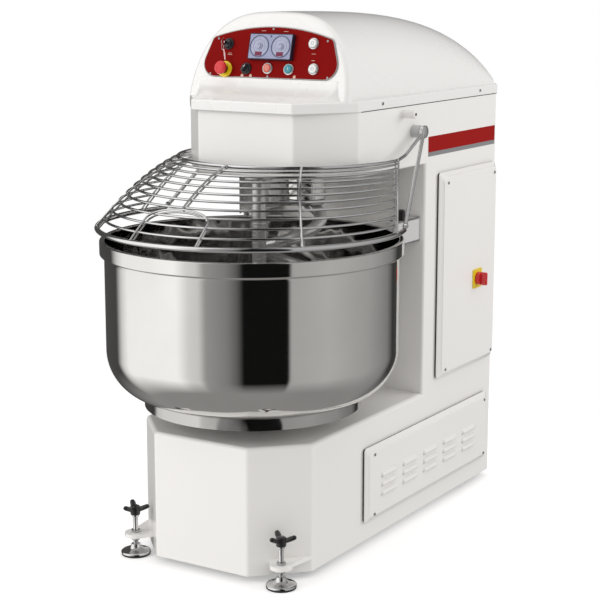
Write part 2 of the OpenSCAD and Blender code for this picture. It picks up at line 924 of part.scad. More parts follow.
module foot_brackets() {
    color("whitesmoke")
    both_sides()
        difference() {
            translate([0, 0, bracket_z])
                linear_extrude(12)
                    polygon(concat([[213, -540], [half_w - 0.5, -445]],
                        arc_pts([foot_x, foot_y], 34, 44, -150, 14)));
            translate([foot_x, foot_y, bracket_z - eps]) cylinder(r = screw_r + 0.3, h = 14, $fn = smooth);
            prism(base_outline, ground_gap, base_top);
        }
    color("silver")
    both_sides()
        translate([foot_x, foot_y, bracket_z - 12.3])
            difference() {
                cylinder(r = 15, h = 12, $fn = 6);
                translate([0, 0, -eps]) cylinder(r = screw_r + 0.3, h = 14, $fn = smooth);
            }
}

module foot_pad() {
    color("silver")
    translate([foot_x, foot_y, 0]) {
        cylinder(r = pad_r - 2, h = 6, $fn = smooth);
        translate([0, 0, 6]) cylinder(r = pad_r, h = 9, $fn = smooth);
        translate([0, 0, 15]) cylinder(r1 = pad_r, r2 = 16, h = 12, $fn = smooth);
        translate([0, 0, 27]) pipe(13, screw_r + run_gap, 8);
    }
}

module handscrew() {
    translate([foot_x, foot_y, 0]) {
        color("silver") translate([0, 0, 27.2]) cylinder(r = screw_r, h = 108, $fn = smooth);
        color("silver") translate([0, 0, 122]) cylinder(r = 11, h = 6, $fn = smooth);
        color("black") {
            translate([0, 0, 128]) cylinder(r = 16, h = 26, $fn = smooth);
            for (a = [20, 140, 260])
                rotate([0, 0, a])
                    translate([6, -6, 146]) rotate([0, -25, 0]) cube([40, 12, 11]);
        }
    }
}

module foot_pad_left() {
    mirror([1, 0, 0]) foot_pad();
}

module foot_pad_right() {
    foot_pad();
}

module handscrew_left() {
    mirror([1, 0, 0]) handscrew();
}

module handscrew_right() {
    handscrew();
}

// ---------- inside the column ----------
module electrical_panel() {
    color("silver") {
        translate([215, 340, 480]) cube([3, 400, 620]);
        for (y = [350, 730], z = [490, 1090])
            translate([218, y, z]) rotate([0, 90, 0]) cylinder(r = 6, h = half_w - sheet - 218, $fn = 24);
    }
    color("dimgray")
    for (y = [385:85:640], z = [560, 900])
        translate([218, y, z]) cube([62, 60, 88]);
    color("gray")
    for (z = [690, 840])
        translate([218, 375, z]) cube([30, 330, 35]);
}

module wheel_forks() {
    top = floor_z - wheel_r;
    color("gray")
    both_sides()
        for (y = [front_wheel_y, rear_wheel_y])
            translate([wheel_x, y, wheel_r]) {
                for (x = [-28, 24]) translate([x, -16, -16]) cube([4, 32, top + 16]);
                translate([-28, -30, top - 4]) cube([56, 60, 4]);
                rotate([0, 90, 0]) translate([0, 0, -32]) cylinder(r = axle_r, h = 64, $fn = smooth);
            }
}

module wheel(y) {
    color("black")
    translate([wheel_x - 20, y, wheel_r])
        rotate([0, 90, 0]) pipe(wheel_r, axle_r + run_gap, 40);
}

module front_wheel_left() {
    mirror([1, 0, 0]) wheel(front_wheel_y);
}

module front_wheel_right() {
    wheel(front_wheel_y);
}

module rear_wheel_left() {
    mirror([1, 0, 0]) wheel(rear_wheel_y);
}

module rear_wheel_right() {
    wheel(rear_wheel_y);
}

body_casing();
inner_frame();
top_cover();
rear_cover();
side_door();
left_cover();
louvre_panels();
control_panel();
timer_box();
timer_knob_left();
timer_knob_right();
button_bezels();
estop_collar();
estop_button();
key_selector();
mode_selector();
stop_button();
start_button();
upper_white_button();
lower_white_button();
isolator_plate();
isolator_knob();
side_stripes();
cover_screws();
bowl();
bowl_shaft();
bowl_bearing_housing();
bowl_pulley();
bowl_belt();
bowl_motor();
bowl_motor_pulley();
spindle_housing();
spindle();
spiral_hook();
spindle_pulley();
spiral_belt();
spiral_motor();
spiral_motor_pulley();
breaker_bar();
dough_deflector();
guard_frame();
guard_rods();
guard_ribs();
guard_shaft();
guard_bosses_and_stops();
guard_switch();
roller_brackets();
bowl_roller_left();
bowl_roller_right();
foot_brackets();
foot_pad_left();
foot_pad_right();
handscrew_left();
handscrew_right();
electrical_panel();
wheel_forks();
front_wheel_left();
front_wheel_right();
rear_wheel_left();
rear_wheel_right();
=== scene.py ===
"""Looks of a floor-standing spiral dough mixer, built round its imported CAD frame. Sizes are in metres."""

import json
import math

import bmesh
import bpy
from mathutils import Matrix, Vector


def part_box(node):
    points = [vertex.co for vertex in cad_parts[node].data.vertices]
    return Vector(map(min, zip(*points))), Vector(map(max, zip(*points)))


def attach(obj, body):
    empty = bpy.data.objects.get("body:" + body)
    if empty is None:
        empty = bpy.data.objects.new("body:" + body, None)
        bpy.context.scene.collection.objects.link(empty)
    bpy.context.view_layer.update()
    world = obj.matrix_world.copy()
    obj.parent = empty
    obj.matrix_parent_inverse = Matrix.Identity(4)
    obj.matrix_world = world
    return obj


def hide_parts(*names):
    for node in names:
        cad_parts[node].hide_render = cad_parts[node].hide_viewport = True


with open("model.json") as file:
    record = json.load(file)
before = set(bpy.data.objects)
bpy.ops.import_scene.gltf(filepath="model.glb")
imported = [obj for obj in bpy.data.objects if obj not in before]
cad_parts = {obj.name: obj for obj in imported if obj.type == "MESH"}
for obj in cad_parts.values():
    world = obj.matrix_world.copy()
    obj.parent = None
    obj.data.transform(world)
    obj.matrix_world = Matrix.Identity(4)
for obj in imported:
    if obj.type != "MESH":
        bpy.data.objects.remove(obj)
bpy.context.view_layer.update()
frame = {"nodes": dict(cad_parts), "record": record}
NODES = frame["nodes"]
NODE_SLOTS = {row["node"]: row["material_slot"] for row in frame["record"]["subparts"]}
SIDES = ((1, "right"), (-1, "left"))
X, Z = Vector((1, 0, 0)), Vector((0, 0, 1))

# ---------- places taken from the frame ----------
casing_lo, casing_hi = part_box("body_casing")
HALF_W = casing_hi.x
REAR = casing_hi.y
GROUND = casing_lo.z
SEAM = casing_hi.z
BASE_FRONT = casing_lo.y
BASE_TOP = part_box("bowl_bearing_housing")[1].z - 0.024
HEAD_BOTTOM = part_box("breaker_bar")[1].z
COLUMN_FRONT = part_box("roller_brackets")[1].y
bowl_lo, bowl_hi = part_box("bowl")
BOWL_Y = (bowl_lo.y + bowl_hi.y) / 2
BOWL_AXIS = Vector((0, BOWL_Y, 0))
hood_lo, hood_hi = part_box("top_cover")
HOOD_FRONT = -0.226
HOOD_LEAN = 0.26
LIP_HEIGHT = 0.034
LIP_TOP = SEAM + LIP_HEIGHT
spindle_lo, spindle_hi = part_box("spindle_housing")
SPIRAL_AXIS = Vector(((spindle_lo.x + spindle_hi.x) / 2, (spindle_lo.y + spindle_hi.y) / 2, 0))


# ---------- materials ----------
def map_range(tree, value, source, target):
    """Node that carries a value from one range to another."""
    node = tree.nodes.new("ShaderNodeMapRange")
    for socket, number in zip(("From Min", "From Max", "To Min", "To Max"), (*source, *target)):
        node.inputs[socket].default_value = number
    tree.links.new(value, node.inputs["Value"])
    return node


class Surface:
    """A Principled material whose detail comes from noise in object coordinates."""

    def __init__(self, name, color, metallic=0.0, roughness=0.5, specular=0.5, coat=0.0, coat_roughness=0.1):
        self.material = bpy.data.materials.new(name)
        self.material.use_nodes = True
        self.tree = self.material.node_tree
        self.shader = self.tree.nodes["Principled BSDF"]
        self.color = (*color, 1.0)
        self.roughness = roughness
        for socket, value in (("Base Color", self.color), ("Metallic", metallic), ("Roughness", roughness),
                              ("Specular IOR Level", specular), ("Coat Weight", coat),
                              ("Coat Roughness", coat_roughness)):
            self.shader.inputs[socket].default_value = value
        self.coordinates = self.tree.nodes.new("ShaderNodeTexCoord").outputs["Object"]

    def noise(self, scale, stretch, detail=3.0):
        mapping = self.tree.nodes.new("ShaderNodeMapping")
        mapping.inputs["Scale"].default_value = stretch
        self.tree.links.new(self.coordinates, mapping.inputs["Vector"])
        texture = self.tree.nodes.new("ShaderNodeTexNoise")
        texture.inputs["Scale"].default_value = scale
        texture.inputs["Detail"].default_value = detail
        texture.inputs["Roughness"].default_value = 0.55
        self.tree.links.new(mapping.outputs["Vector"], texture.inputs["Vector"])
        return texture.outputs["Fac"]

    def drift(self, scale, stretch, low, high):
        """Noise that wanders between two numbers."""
        return map_range(self.tree, self.noise(scale, stretch), (0.3, 0.7), (low, high)).outputs["Result"]

    def tint(self, scale, other, amount=1.0, stretch=(1, 1, 1)):
        """Drifts the colour towards another one."""
        mix = self.tree.nodes.new("ShaderNodeMix")
        mix.data_type = "RGBA"
        mix.inputs["A"].default_value = self.color
        mix.inputs["B"].default_value = (*other, 1.0)
        self.tree.links.new(self.drift(scale, stretch, 0.0, amount), mix.inputs["Factor"])
        self.tree.links.new(mix.outputs["Result"], self.shader.inputs["Base Color"])
        return self

    def gloss(self, scale, spread, stretch=(1, 1, 1)):
        """Varies the roughness by plus or minus spread."""
        drift = self.drift(scale, stretch, max(0.02, self.roughness - spread), self.roughness + spread)
        self.tree.links.new(drift, self.shader.inputs["Roughness"])
        return self

    def bump(self, scale, depth, stretch=(1, 1, 1), detail=3.0):
        """Adds relief of the given depth, in metres."""
        node = self.tree.nodes.new("ShaderNodeBump")
        node.inputs["Strength"].default_value = 1.0
        node.inputs["Distance"].default_value = depth
        self.tree.links.new(self.noise(scale, stretch, detail), node.inputs["Height"])
        self.tree.links.new(node.outputs["Normal"], self.shader.inputs["Normal"])
        return self


def enamel(name, color, roughness=0.32, coat=0.35, specular=0.5):
    """Sprayed enamel on sheet steel, with faint orange peel."""
    dirty = [c * 0.94 for c in color]
    surface = Surface(name, color, roughness=roughness, specular=specular, coat=coat, coat_roughness=0.12)
    surface.tint(1.5, dirty, 0.25).gloss(4.0, 0.015).bump(160.0, 0.000003, detail=0.5)
    return surface.material


def polished(name, color, roughness, stretch=(1, 1, 60), grain=9.0, depth=0.000012, metallic=1.0):
    """Polished or satin steel with fine grain along the directions that stretch leaves long."""
    surface = Surface(name, color, metallic=metallic, roughness=roughness)
    surface.gloss(grain, roughness * 0.35, stretch).tint(4.0, [c * 0.9 for c in color], 0.8)
    surface.bump(grain * 4, depth, stretch)
    return surface.material


def hammered(name, color):
    """Bright steel with the soft waves that spinning leaves."""
    surface = Surface(name, color, metallic=1.0, roughness=0.08)
    surface.gloss(14.0, 0.03).bump(19.0, 0.0028, (1, 1, 0.8), 0.5)
    return surface.material


def plastic(name, color, roughness=0.35, grain=900.0, depth=0.00003, coat=0.0):
    """Moulded plastic with a fine grain."""
    surface = Surface(name, color, roughness=roughness, coat=coat)
    surface.tint(25.0, [c * 0.88 + 0.004 for c in color], 0.8).gloss(60.0, 0.05).bump(grain, depth)
    return surface.material


def rough_metal(name, color, roughness=0.55, metallic=1.0, depth=0.0002, scale=240.0):
    """Cast, galvanised or primed metal."""
    surface = Surface(name, color, metallic=metallic, roughness=roughness)
    surface.tint(14.0, [c * 0.75 for c in color], 0.9).gloss(30.0, 0.1).bump(scale, depth)
    return surface.material


WHITE_PAINT = (0.83, 0.815, 0.795)
M = {
    "casing_paint": enamel("casing_paint", WHITE_PAINT),
    "hood_paint": enamel("hood_paint", (0.82, 0.81, 0.8), roughness=0.27, coat=0.5),
    "panel_red": enamel("panel_red", (0.205, 0.0045, 0.004), roughness=0.5, coat=0.0, specular=0.04),
    "panel_border": polished("panel_border", (0.42, 0.41, 0.4), 0.3, (1, 1, 1), 60.0),
    "stripe_red": enamel("stripe_red", (0.3, 0.003, 0.002), roughness=0.4, coat=0.0, specular=0.1),
    "stripe_grey": enamel("stripe_grey", (0.225, 0.225, 0.235), roughness=0.4, coat=0.0, specular=0.2),
    "timer_grey": plastic("timer_grey", (0.27, 0.29, 0.44), 0.25, coat=0.3),
    "dial_plastic": plastic("dial_plastic", (0.36, 0.38, 0.52), 0.2, coat=0.5),
    "dial_dark": plastic("dial_dark", (0.055, 0.06, 0.12), 0.3),
    "dial_maroon": plastic("dial_maroon", (0.15, 0.004, 0.04), 0.3),
    "timer_body": plastic("timer_body", (0.01, 0.012, 0.028), 0.3),
    "chrome": polished("chrome", (0.82, 0.82, 0.83), 0.09, (1, 1, 1), 30.0, 0.000006),
    "yellow_plastic": plastic("yellow_plastic", (0.82, 0.6, 0.01), 0.3, coat=0.3),
    "red_plastic": plastic("red_plastic", (0.62, 0.018, 0.022), 0.28, coat=0.4),
    "black_plastic": plastic("black_plastic", (0.018, 0.019, 0.024), 0.35, coat=0.2),
    "lit_red": plastic("lit_red", (0.62, 0.13, 0.09), 0.2, coat=0.6),
    "teal_plastic": plastic("teal_plastic", (0.016, 0.24, 0.3), 0.2, coat=0.6),
    "white_plastic": plastic("white_plastic", (0.8, 0.8, 0.78), 0.22, coat=0.6),
    "label_cream": plastic("label_cream", (0.62, 0.42, 0.33), 0.4),
    "ribbon_pink": plastic("ribbon_pink", (0.72, 0.5, 0.5), 0.6),
    "screw_steel": polished("screw_steel", (0.5, 0.5, 0.5), 0.28, (1, 1, 1), 200.0),
    "polished_stainless": polished("polished_stainless", (0.8, 0.79, 0.775), 0.05),
    "bowl_inside": hammered("bowl_inside", (0.56, 0.55, 0.54)),
    "satin_stainless": polished("satin_stainless", (0.78, 0.775, 0.765), 0.22, (1, 1, 20), 12.0, 0.00002, 0.7),
    "machined_steel": polished("machined_steel", (0.48, 0.48, 0.48), 0.3, (1, 1, 40), 20.0),
    "cast_iron": rough_metal("cast_iron", (0.1, 0.11, 0.12)),
    "belt_rubber": plastic("belt_rubber", (0.02, 0.02, 0.02), 0.7, 300.0, 0.0002),
    "motor_paint": rough_metal("motor_paint", (0.06, 0.12, 0.19), 0.42, 0.0, 0.0001),
    "grey_steel": rough_metal("grey_steel", (0.3, 0.31, 0.32), 0.5, 0.3, 0.0001),
    "boss_grey": enamel("boss_grey", (0.47, 0.475, 0.48), roughness=0.3),
    "bracket_grey": enamel("bracket_grey", (0.56, 0.56, 0.56), roughness=0.35),
    "roller_nylon": plastic("roller_nylon", (0.62, 0.62, 0.58), 0.4),
    "knob_black": plastic("knob_black", (0.012, 0.012, 0.013), 0.3, 500.0, 0.00005, 0.3),
    "galvanised_steel": rough_metal("galvanised_steel", (0.5, 0.51, 0.52), 0.45, 1.0, 0.00006, 60.0),
    "wheel_rubber": plastic("wheel_rubber", (0.025, 0.025, 0.026), 0.75, 200.0, 0.0003),
    # dark plastic of the hood's seam seal; the same dark is painted shade in the gaps round the covers and in the
    # louvres' slots
    "seal_dark": plastic("seal_dark", (0.045, 0.045, 0.045), 0.6),
}


# ---------- mesh building ----------
class Form:
    """Gathers closed shells into one mesh."""

    def __init__(self):
        self.verts = []
        self.faces = []
        self.slots = []

    def add(self, shell, at=Matrix.Identity(4), slot=0):
        verts, faces = shell
        start = len(self.verts)
        self.verts += [at @ Vector(v) for v in verts]
        self.faces += [[start + i for i in face] for face in faces]
        self.slots += [slot] * len(faces)
        return self


def loft(rings, caps=True):
    """Skin over closed rings that all have the same number of points."""
    n = len(rings[0])
    verts = [p for ring in rings for p in ring]
    faces = [[i * n + j, i * n + (j + 1) % n, (i + 1) * n + (j + 1) % n, (i + 1) * n + j]
             for i in range(len(rings) - 1) for j in range(n)]
    if caps:
        faces += [list(range(n))[::-1], [(len(rings) - 1) * n + j for j in range(n)]]
    return verts, faces


def lathe(profile, segments=64):
    """Turned shape about Z; the profile is a list of (radius, height) whose ends lie on the axis or on one ring."""
    closed = profile[0] == profile[-1]
    points = profile[:-1] if closed else profile
    verts, rows = [], []
    for r, z in points:
        if r < 1e-7:
            rows.append([len(verts)] * segments)
            verts.append((0, 0, z))
        else:
            rows.append(list(range(len(verts), len(verts) + segments)))
            verts += [(r * math.cos(2 * math.pi * j / segments), r * math.sin(2 * math.pi * j / segments), z)
                      for j in range(segments)]
    if closed:
        rows.append(rows[0])
    faces = []
    for a, b in zip(rows, rows[1:]):
        for j in range(segments):
            k = (j + 1) % segments
            face = [a[j], a[k], b[k], b[j]]
            faces.append([v for i, v in enumerate(face) if v not in face[:i]])
    return verts, faces


def arc(center, r, start, end, steps):
    """Points of a circular arc in a plane; angles in degrees."""
    return [(center[0] + r * math.cos(math.radians(start + (end - start) * i / steps)),
             center[1] + r * math.sin(math.radians(start + (end - start) * i / steps))) for i in range(steps + 1)]


def fillet(corner, before, after, radius, steps):
    """Arc that rounds the corner between two straight lines."""
    c = Vector(corner)
    u, w = (Vector(before) - c).normalized(), (Vector(after) - c).normalized()
    half = math.acos(max(-1, min(1, u.dot(w)))) / 2
    o = c + (u + w).normalized() * radius / math.sin(half)
    s = c + u * radius / math.tan(half) - o
    turn = math.pi - 2 * half
    return [tuple(o + Matrix.Rotation(turn * k / steps, 2) @ s) for k in range(steps + 1)]


def rounded(corners, radius, steps=6):
    """Rounds each corner of a convex outline given anticlockwise."""
    out = []
    for i, corner in enumerate(corners):
        out += fillet(corner, corners[i - 1], corners[(i + 1) % len(corners)], radius, steps)
    return out


def rect(x0, y0, x1, y1):
    """Corners of a rectangle, anticlockwise."""
    return [(x0, y0), (x1, y0), (x1, y1), (x0, y1)]


def inset(corners, d):
    """Moves the corners of a convex outline inwards by d."""
    out = []
    for i, c in enumerate(corners):
        c = Vector(c)
        u = (Vector(corners[i - 1]) - c).normalized()
        w = (Vector(corners[(i + 1) % len(corners)]) - c).normalized()
        half = math.acos(max(-1, min(1, u.dot(w)))) / 2
        out.append(tuple(c + (u + w).normalized() * d / math.sin(half)))
    return out


def slab(corners, z0, z1, corner, top=0.0, bottom=0.0, steps=5):
    """Upright plate or block with rounded corners and rounded top and bottom edges."""
    levels = [(0, z0), (0, z1)]
    if bottom:
        levels = [(bottom * (1 - math.sin(a)), z0 + bottom * (1 - math.cos(a)))
                  for a in [math.pi / 2 * k / steps for k in range(steps + 1)]] + levels[1:]
    if top:
        levels = levels[:-1] + [(top * (1 - math.cos(a)), z1 - top * (1 - math.sin(a)))
                                for a in [math.pi / 2 * k / steps for k in range(steps + 1)]]
    rings = [[(x, y, z) for x, y in rounded(inset(corners, d), max(corner - d, 0.0004))] for d, z in levels]
    return loft(rings)


def tube(points, radius, sides=16, up=None, dome=True):
    """Round rod along a list of points, with domed ends."""
    points = [Vector(p) for p in points]
    n = len(points)
    frames = []
    side = None
    for i, p in enumerate(points):
        along = (points[min(i + 1, n - 1)] - points[max(i - 1, 0)]).normalized()
        if side is None:
            hint = up or (Z if abs(along.z) < 0.9 else X)
            side = along.cross(hint).normalized()
        side = (side - along * side.dot(along)).normalized()
        frames.append((p, along, side, along.cross(side)))

    def ring(p, side, other, r):
        return [p + r * (math.cos(2 * math.pi * j / sides) * side + math.sin(2 * math.pi * j / sides) * other)
                for j in range(sides)]

    rings = [ring(p, s, o, radius) for p, _, s, o in frames]
    if dome:
        for sign, index in ((-1, 0), (1, -1)):
            p, along, s, o = frames[index]
            cap = [ring(p + along * sign * radius * 0.6 * math.sin(a), s, o, radius * math.cos(a))
                   for a in (0.5, 1.0, 1.35)]
            rings = cap[::-1] + rings if sign < 0 else rings + cap
    return loft(rings)


def smooth_path(corners, radius, steps=6):
    """Polyline with its inner corners turned into bends of the given radius."""
    corners = [Vector(c) for c in corners]
    out = [corners[0]]
    for a, c, b in zip(corners, corners[1:], corners[2:]):
        u, w = (a - c).normalized(), (b - c).normalized()
        half = u.angle(w) / 2
        back = min(radius / math.tan(half), (a - c).length * 0.45, (b - c).length * 0.45)
        start, end = c + u * back, c + w * back
        for k in range(steps + 1):
            t = k / steps
            out.append(start * (1 - t) ** 2 + c * 2 * t * (1 - t) + end * t ** 2)
    return out + [corners[-1]]


def link(name, data):
    obj = bpy.data.objects.new(name, data)
    bpy.context.scene.collection.objects.link(obj)
    return obj


def mesh_of(form, name, materials=()):
    """The form's mesh, with its faces turned outwards."""
    data = bpy.data.meshes.new(name)
    data.from_pydata([tuple(v) for v in form.verts], [], form.faces)
    for material in materials:
        data.materials.append(M[material])
    data.polygons.foreach_set("material_index", form.slots)
    mesh = bmesh.new()
    mesh.from_mesh(data)
    bmesh.ops.remove_doubles(mesh, verts=mesh.verts, dist=1e-6)
    bmesh.ops.recalc_face_normals(mesh, faces=mesh.faces)
    mesh.to_mesh(data)
    mesh.free()
    return data


def piece(name, form, materials, body, replaces=(), sharp=38.0):
    """Turns a form into an object that rides on a body."""
    names = materials if isinstance(materials, list) else [materials]
    finish_piece(mesh_of(form, name, names), name, body, replaces, sharp)


def finish_piece(data, name, body, replaces=(), sharp=38.0):
    """Shades a mesh smooth between its sharp edges and makes it a piece of the model."""
    data.polygons.foreach_set("use_smooth", [True] * len(data.polygons))
    data.set_sharp_from_angle(angle=math.radians(sharp))
    data.update()
    obj = link(name, data)
    weights = obj.modifiers.new("weights", "WEIGHTED_NORMAL")
    weights.keep_sharp = True
    if replaces:
        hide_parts(*replaces)
    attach(obj, body)


def take_mesh(obj):
    """The object's mesh with its modifiers applied; the object is removed."""
    graph = bpy.context.evaluated_depsgraph_get()
    data = bpy.data.meshes.new_from_object(obj.evaluated_get(graph))
    bpy.data.objects.remove(obj)
    return data


def shell_piece(obj, name, thickness, slot, node, sharp):
    """Gives an open skin an inner face and makes it a piece."""
    skin = obj.modifiers.new("sheet", "SOLIDIFY")
    skin.thickness = thickness
    skin.offset = -1
    data = take_mesh(obj)
    data.materials.clear()
    data.materials.append(M[slot])
    data.name = name
    finish_piece(data, name, "root", [node], sharp)


def body_of(node):
    for body, members in frame["record"]["behaviour"]["bodies"].items():
        if node in members:
            return body
    return "root"


def softened(node, width):
    """Copy of a plain CAD node with its edges rounded off."""
    data = NODES[node].data.copy()
    mesh = bmesh.new()
    mesh.from_mesh(data)
    bmesh.ops.remove_doubles(mesh, verts=mesh.verts, dist=2e-5)
    bmesh.ops.dissolve_limit(mesh, angle_limit=math.radians(1.0), verts=mesh.verts, edges=mesh.edges)
    bmesh.ops.recalc_face_normals(mesh, faces=mesh.faces)
    edges = [e for e in mesh.edges if len(e.link_faces) == 2 and e.calc_face_angle(0) > math.radians(30.0)]
    bmesh.ops.bevel(mesh, geom=edges, offset=width, segments=3, profile=0.5, affect="EDGES", clamp_overlap=True)
    mesh.to_mesh(data)
    mesh.free()
    data.materials.clear()
    data.materials.append(M[NODE_SLOTS[node]])
    data.polygons.foreach_set("material_index", [0] * len(data.polygons))
    finish_piece(data, node + "_finished", body_of(node), [node], 30.0)


def mirrored(shell):
    verts, faces = shell
    return [(-v[0], v[1], v[2]) for v in verts], [face[::-1] for face in faces]


def sideways(place, sign=1):
    """Frame at a place whose Z points to +X or -X."""
    return Matrix.Translation(place) @ Matrix.Rotation(sign * math.pi / 2, 4, "Y")


def bolt_ring(form, center, z, ring_r, count, head_r, top):
    """Hexagonal bolt heads round a flange."""
    head = [(0.0, -0.004), (head_r * 0.9, -0.004), (head_r, -0.003), (head_r, top), (0.0, top)]
    for k in range(count):
        a = 2 * math.pi * (k + 0.5) / count
        place = (center.x + ring_r * math.cos(a), center.y + ring_r * math.sin(a), z)
        form.add(lathe(head, 6), Matrix.Translation(place), 1)


# ---------- casing ----------
def casing():
    """Base, column and head welded into one smooth shell, open below and above."""
    base = [(-0.168, BASE_FRONT), (0.168, BASE_FRONT), (HALF_W, -0.446), (HALF_W, 0.3), (-HALF_W, 0.3),
            (-HALF_W, -0.446)]
    head = [(-0.171, -0.336), (0.171, -0.336), (HALF_W, -0.187), (HALF_W, 0.3), (-HALF_W, 0.3), (-HALF_W, -0.187)]
    column = slab(rect(-HALF_W, COLUMN_FRONT, HALF_W, REAR), GROUND, SEAM, 0.01)
    work = link("work", mesh_of(Form().add(column), "work"))
    for shell in (slab(base, GROUND, BASE_TOP, 0.018, top=0.014), slab(head, HEAD_BOTTOM, SEAM, 0.016, bottom=0.008)):
        other = link("other", mesh_of(Form().add(shell), "other"))
        union = work.modifiers.new("union", "BOOLEAN")
        union.operation = "UNION"
        union.solver = "EXACT"
        union.object = other
        graph = bpy.context.evaluated_depsgraph_get()
        merged = bpy.data.meshes.new_from_object(work.evaluated_get(graph))
        work.modifiers.clear()
        work.data = merged
        bpy.data.objects.remove(other)
    mesh = bmesh.new()
    mesh.from_mesh(work.data)
    ends = [f for f in mesh.faces if abs(f.normal.z) > 0.99
            and (abs(f.calc_center_median().z - GROUND) < 1e-4 or abs(f.calc_center_median().z - SEAM) < 1e-4)]
    bmesh.ops.delete(mesh, geom=ends, context="FACES")
    mesh.to_mesh(work.data)
    mesh.free()
    shell_piece(work, "casing_shell", 0.004, "casing_paint", "body_casing", 30.0)


# ---------- hood ----------
HOOD_HALF = (0.289, 0.301)
HOOD_H = hood_hi.z - LIP_TOP
HOOD_SUNK = 0.006  # the skin starts this far below the lip's top
CREST = -0.2


def hood_arch(y, lean, w, h, n=72):
    """One arch of the hood's skin: place along the machine, lean, half width and height."""
    points = []
    for i in range(n + 1):
        a = math.pi * i / n
        c, up = math.cos(a), h * math.sin(a)
        x = w * math.copysign(abs(c) ** (2 / 3), c)
        points.append((x, y + lean * up, LIP_TOP - HOOD_SUNK + up))
    return points


def strip(rows, closed):
    """Open skin over rows of points."""
    n = len(rows[0])
    verts = [p for row in rows for p in row]
    span = range(n if closed else n - 1)
    return verts, [[i * n + j, i * n + (j + 1) % n, (i + 1) * n + (j + 1) % n, (i + 1) * n + j]
                   for i in range(len(rows) - 1) for j in span]


def hood():
    """Moulded hood: leaning front face, arched back, flared shelf and lip."""
    edge = 0.016
    rows = []
    for a in [math.radians(15 * k) for k in range(7)]:
        drop, back = edge * (1 - math.sin(a)), edge * (1 - math.cos(a))
        rows.append(hood_arch(HOOD_FRONT + back, HOOD_LEAN, HOOD_HALF[0] - drop, HOOD_H - drop + HOOD_SUNK))
    steps = 40
    length = REAR - CREST
    for k in range(1, steps + 1):
        s = math.sin(math.pi / 2 * k / steps)
        y = HOOD_FRONT + edge + length * s
        lean = HOOD_LEAN * max(0.0, 1 - 2.2 * s)
        w = HOOD_HALF[0] + (HOOD_HALF[1] - HOOD_HALF[0]) * s
        t = min(1.0, max(0.0, (y + lean * HOOD_H - CREST) / length))
        h = HOOD_H * (1 - t ** 3) ** (1 / 3) + HOOD_SUNK
        rows.append(hood_arch(y, lean, w, h))
    # rounded edge into the upright rear face
    for a in [math.radians(18 * k) for k in range(1, 6)]:
        drop, back = 0.008 * (1 - math.cos(a)), 0.008 * math.sin(a)
        rows.append(hood_arch(y + back, lean, w - drop, h - drop))
    verts, faces = strip(rows, False)
    n = len(rows[0])
    last = (len(rows) - 1) * n
    form = Form().add((verts, faces + [list(range(n)), list(range(last, last + n))]))
    lip = [(-0.181, -0.358), (0.181, -0.358), (HALF_W, -0.19), (HALF_W, hood_hi.y), (-HALF_W, hood_hi.y),
           (-HALF_W, -0.19)]
    r = 0.006
    levels = [(0.024, SEAM + 0.0004), (0.002, SEAM + 0.0004), (0.0, SEAM + 0.0024)]
    levels += [(r * (1 - math.cos(a)), LIP_TOP - r * (1 - math.sin(a)))
               for a in [math.radians(18 * k) for k in range(6)]]
    levels += [(0.02, LIP_TOP + 0.0004)]
    form.add(strip([[(x, y, z) for x, y in rounded(inset(lip, d), max(0.004, 0.012 - d))] for d, z in levels], True))
    # concave shelf from the lip up to the control panel's foot
    low = inset(lip, 0.007)
    high = [(-0.25, -0.2125), (0.25, -0.2125), (0.276, -0.19), (0.284, 0.6), (-0.284, 0.6), (-0.276, -0.19)]
    shelf = []
    for k in range(15):
        a = math.pi / 2 * k / 14
        mix = math.sin(a) ** 0.9
        corners = [(p[0] + (q[0] - p[0]) * mix, p[1] + (q[1] - p[1]) * mix) for p, q in zip(low, high)]
        z = LIP_TOP - 0.0005 + 0.058 * (1 - math.cos(a))
        shelf.append([(x, y, z) for x, y in rounded(corners, 0.008 + 0.02 * mix)])
    form.add(strip(shelf, True))
    shell_piece(link("work", mesh_of(form, "work")), "hood_shell", 0.003, "hood_paint", "top_cover", 40.0)
    seal = Form()
    strip_right = slab(rect(HALF_W - 0.0291, -0.17, HALF_W + 0.0003, REAR - 0.001), SEAM - 0.0002, SEAM + 0.0022,
                       0.002)
    seal.add(strip_right).add(mirrored(strip_right))
    piece("hood_seal", seal, "seal_dark", "root")


# ---------- covers on the sides ----------
def on_side(shell, sign):
    """Carries a shell drawn in the XY plane (x is along the machine, y is up) to the side face at +X or -X."""
    verts, faces = shell
    return [(sign * (HALF_W + v[2]), v[0], v[1]) for v in verts], faces


def gap_shade(lo, hi):
    """Dark strip round the foot of a cover: painted shade that darkens the shadow gap there."""
    return slab(rect(lo.y + 0.003, lo.z + 0.003, hi.y - 0.003, hi.z - 0.003), 0.0, 0.0066, 0.008)


def cover(lo, hi, depth, slope):
    """Raised pan with sloping edges."""
    corners = rect(lo.y, lo.z, hi.y, hi.z)
    foot = 0.0065
    levels = [(0.004, foot), (0.0004, foot), (0.0, foot + 0.0006), (0.0, foot + 0.0024), (0.0006, foot + 0.0032)]
    top = levels[-1][1]
    levels += [(0.0006 + (slope - 0.0006) * k / 4, top + (depth - 0.0015 - top) * k / 4) for k in range(1, 4)]
    levels += [(slope * 0.9, depth - 0.0012), (slope, depth - 0.0004), (slope + 0.003, depth)]
    rings = [[(x, y, z) for x, y in rounded(inset(corners, d), 0.01 + d * 0.5)] for d, z in levels]
    return loft(rings)


def side_covers():
    for node, sign in (("side_door", 1), ("left_cover", -1)):
        lo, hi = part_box(node)
        depth = max(abs(lo.x), abs(hi.x)) - HALF_W
        # slot 1 is the dark strip of painted shade in the gap round the pan's foot
        form = Form().add(on_side(cover(lo, hi, depth, 0.017), sign)).add(on_side(gap_shade(lo, hi), sign), slot=1)
        piece(node + "_pan", form, ["casing_paint", "seal_dark"], "root", [node], 25.0)


LOUVRE_DEPTH = 0.02


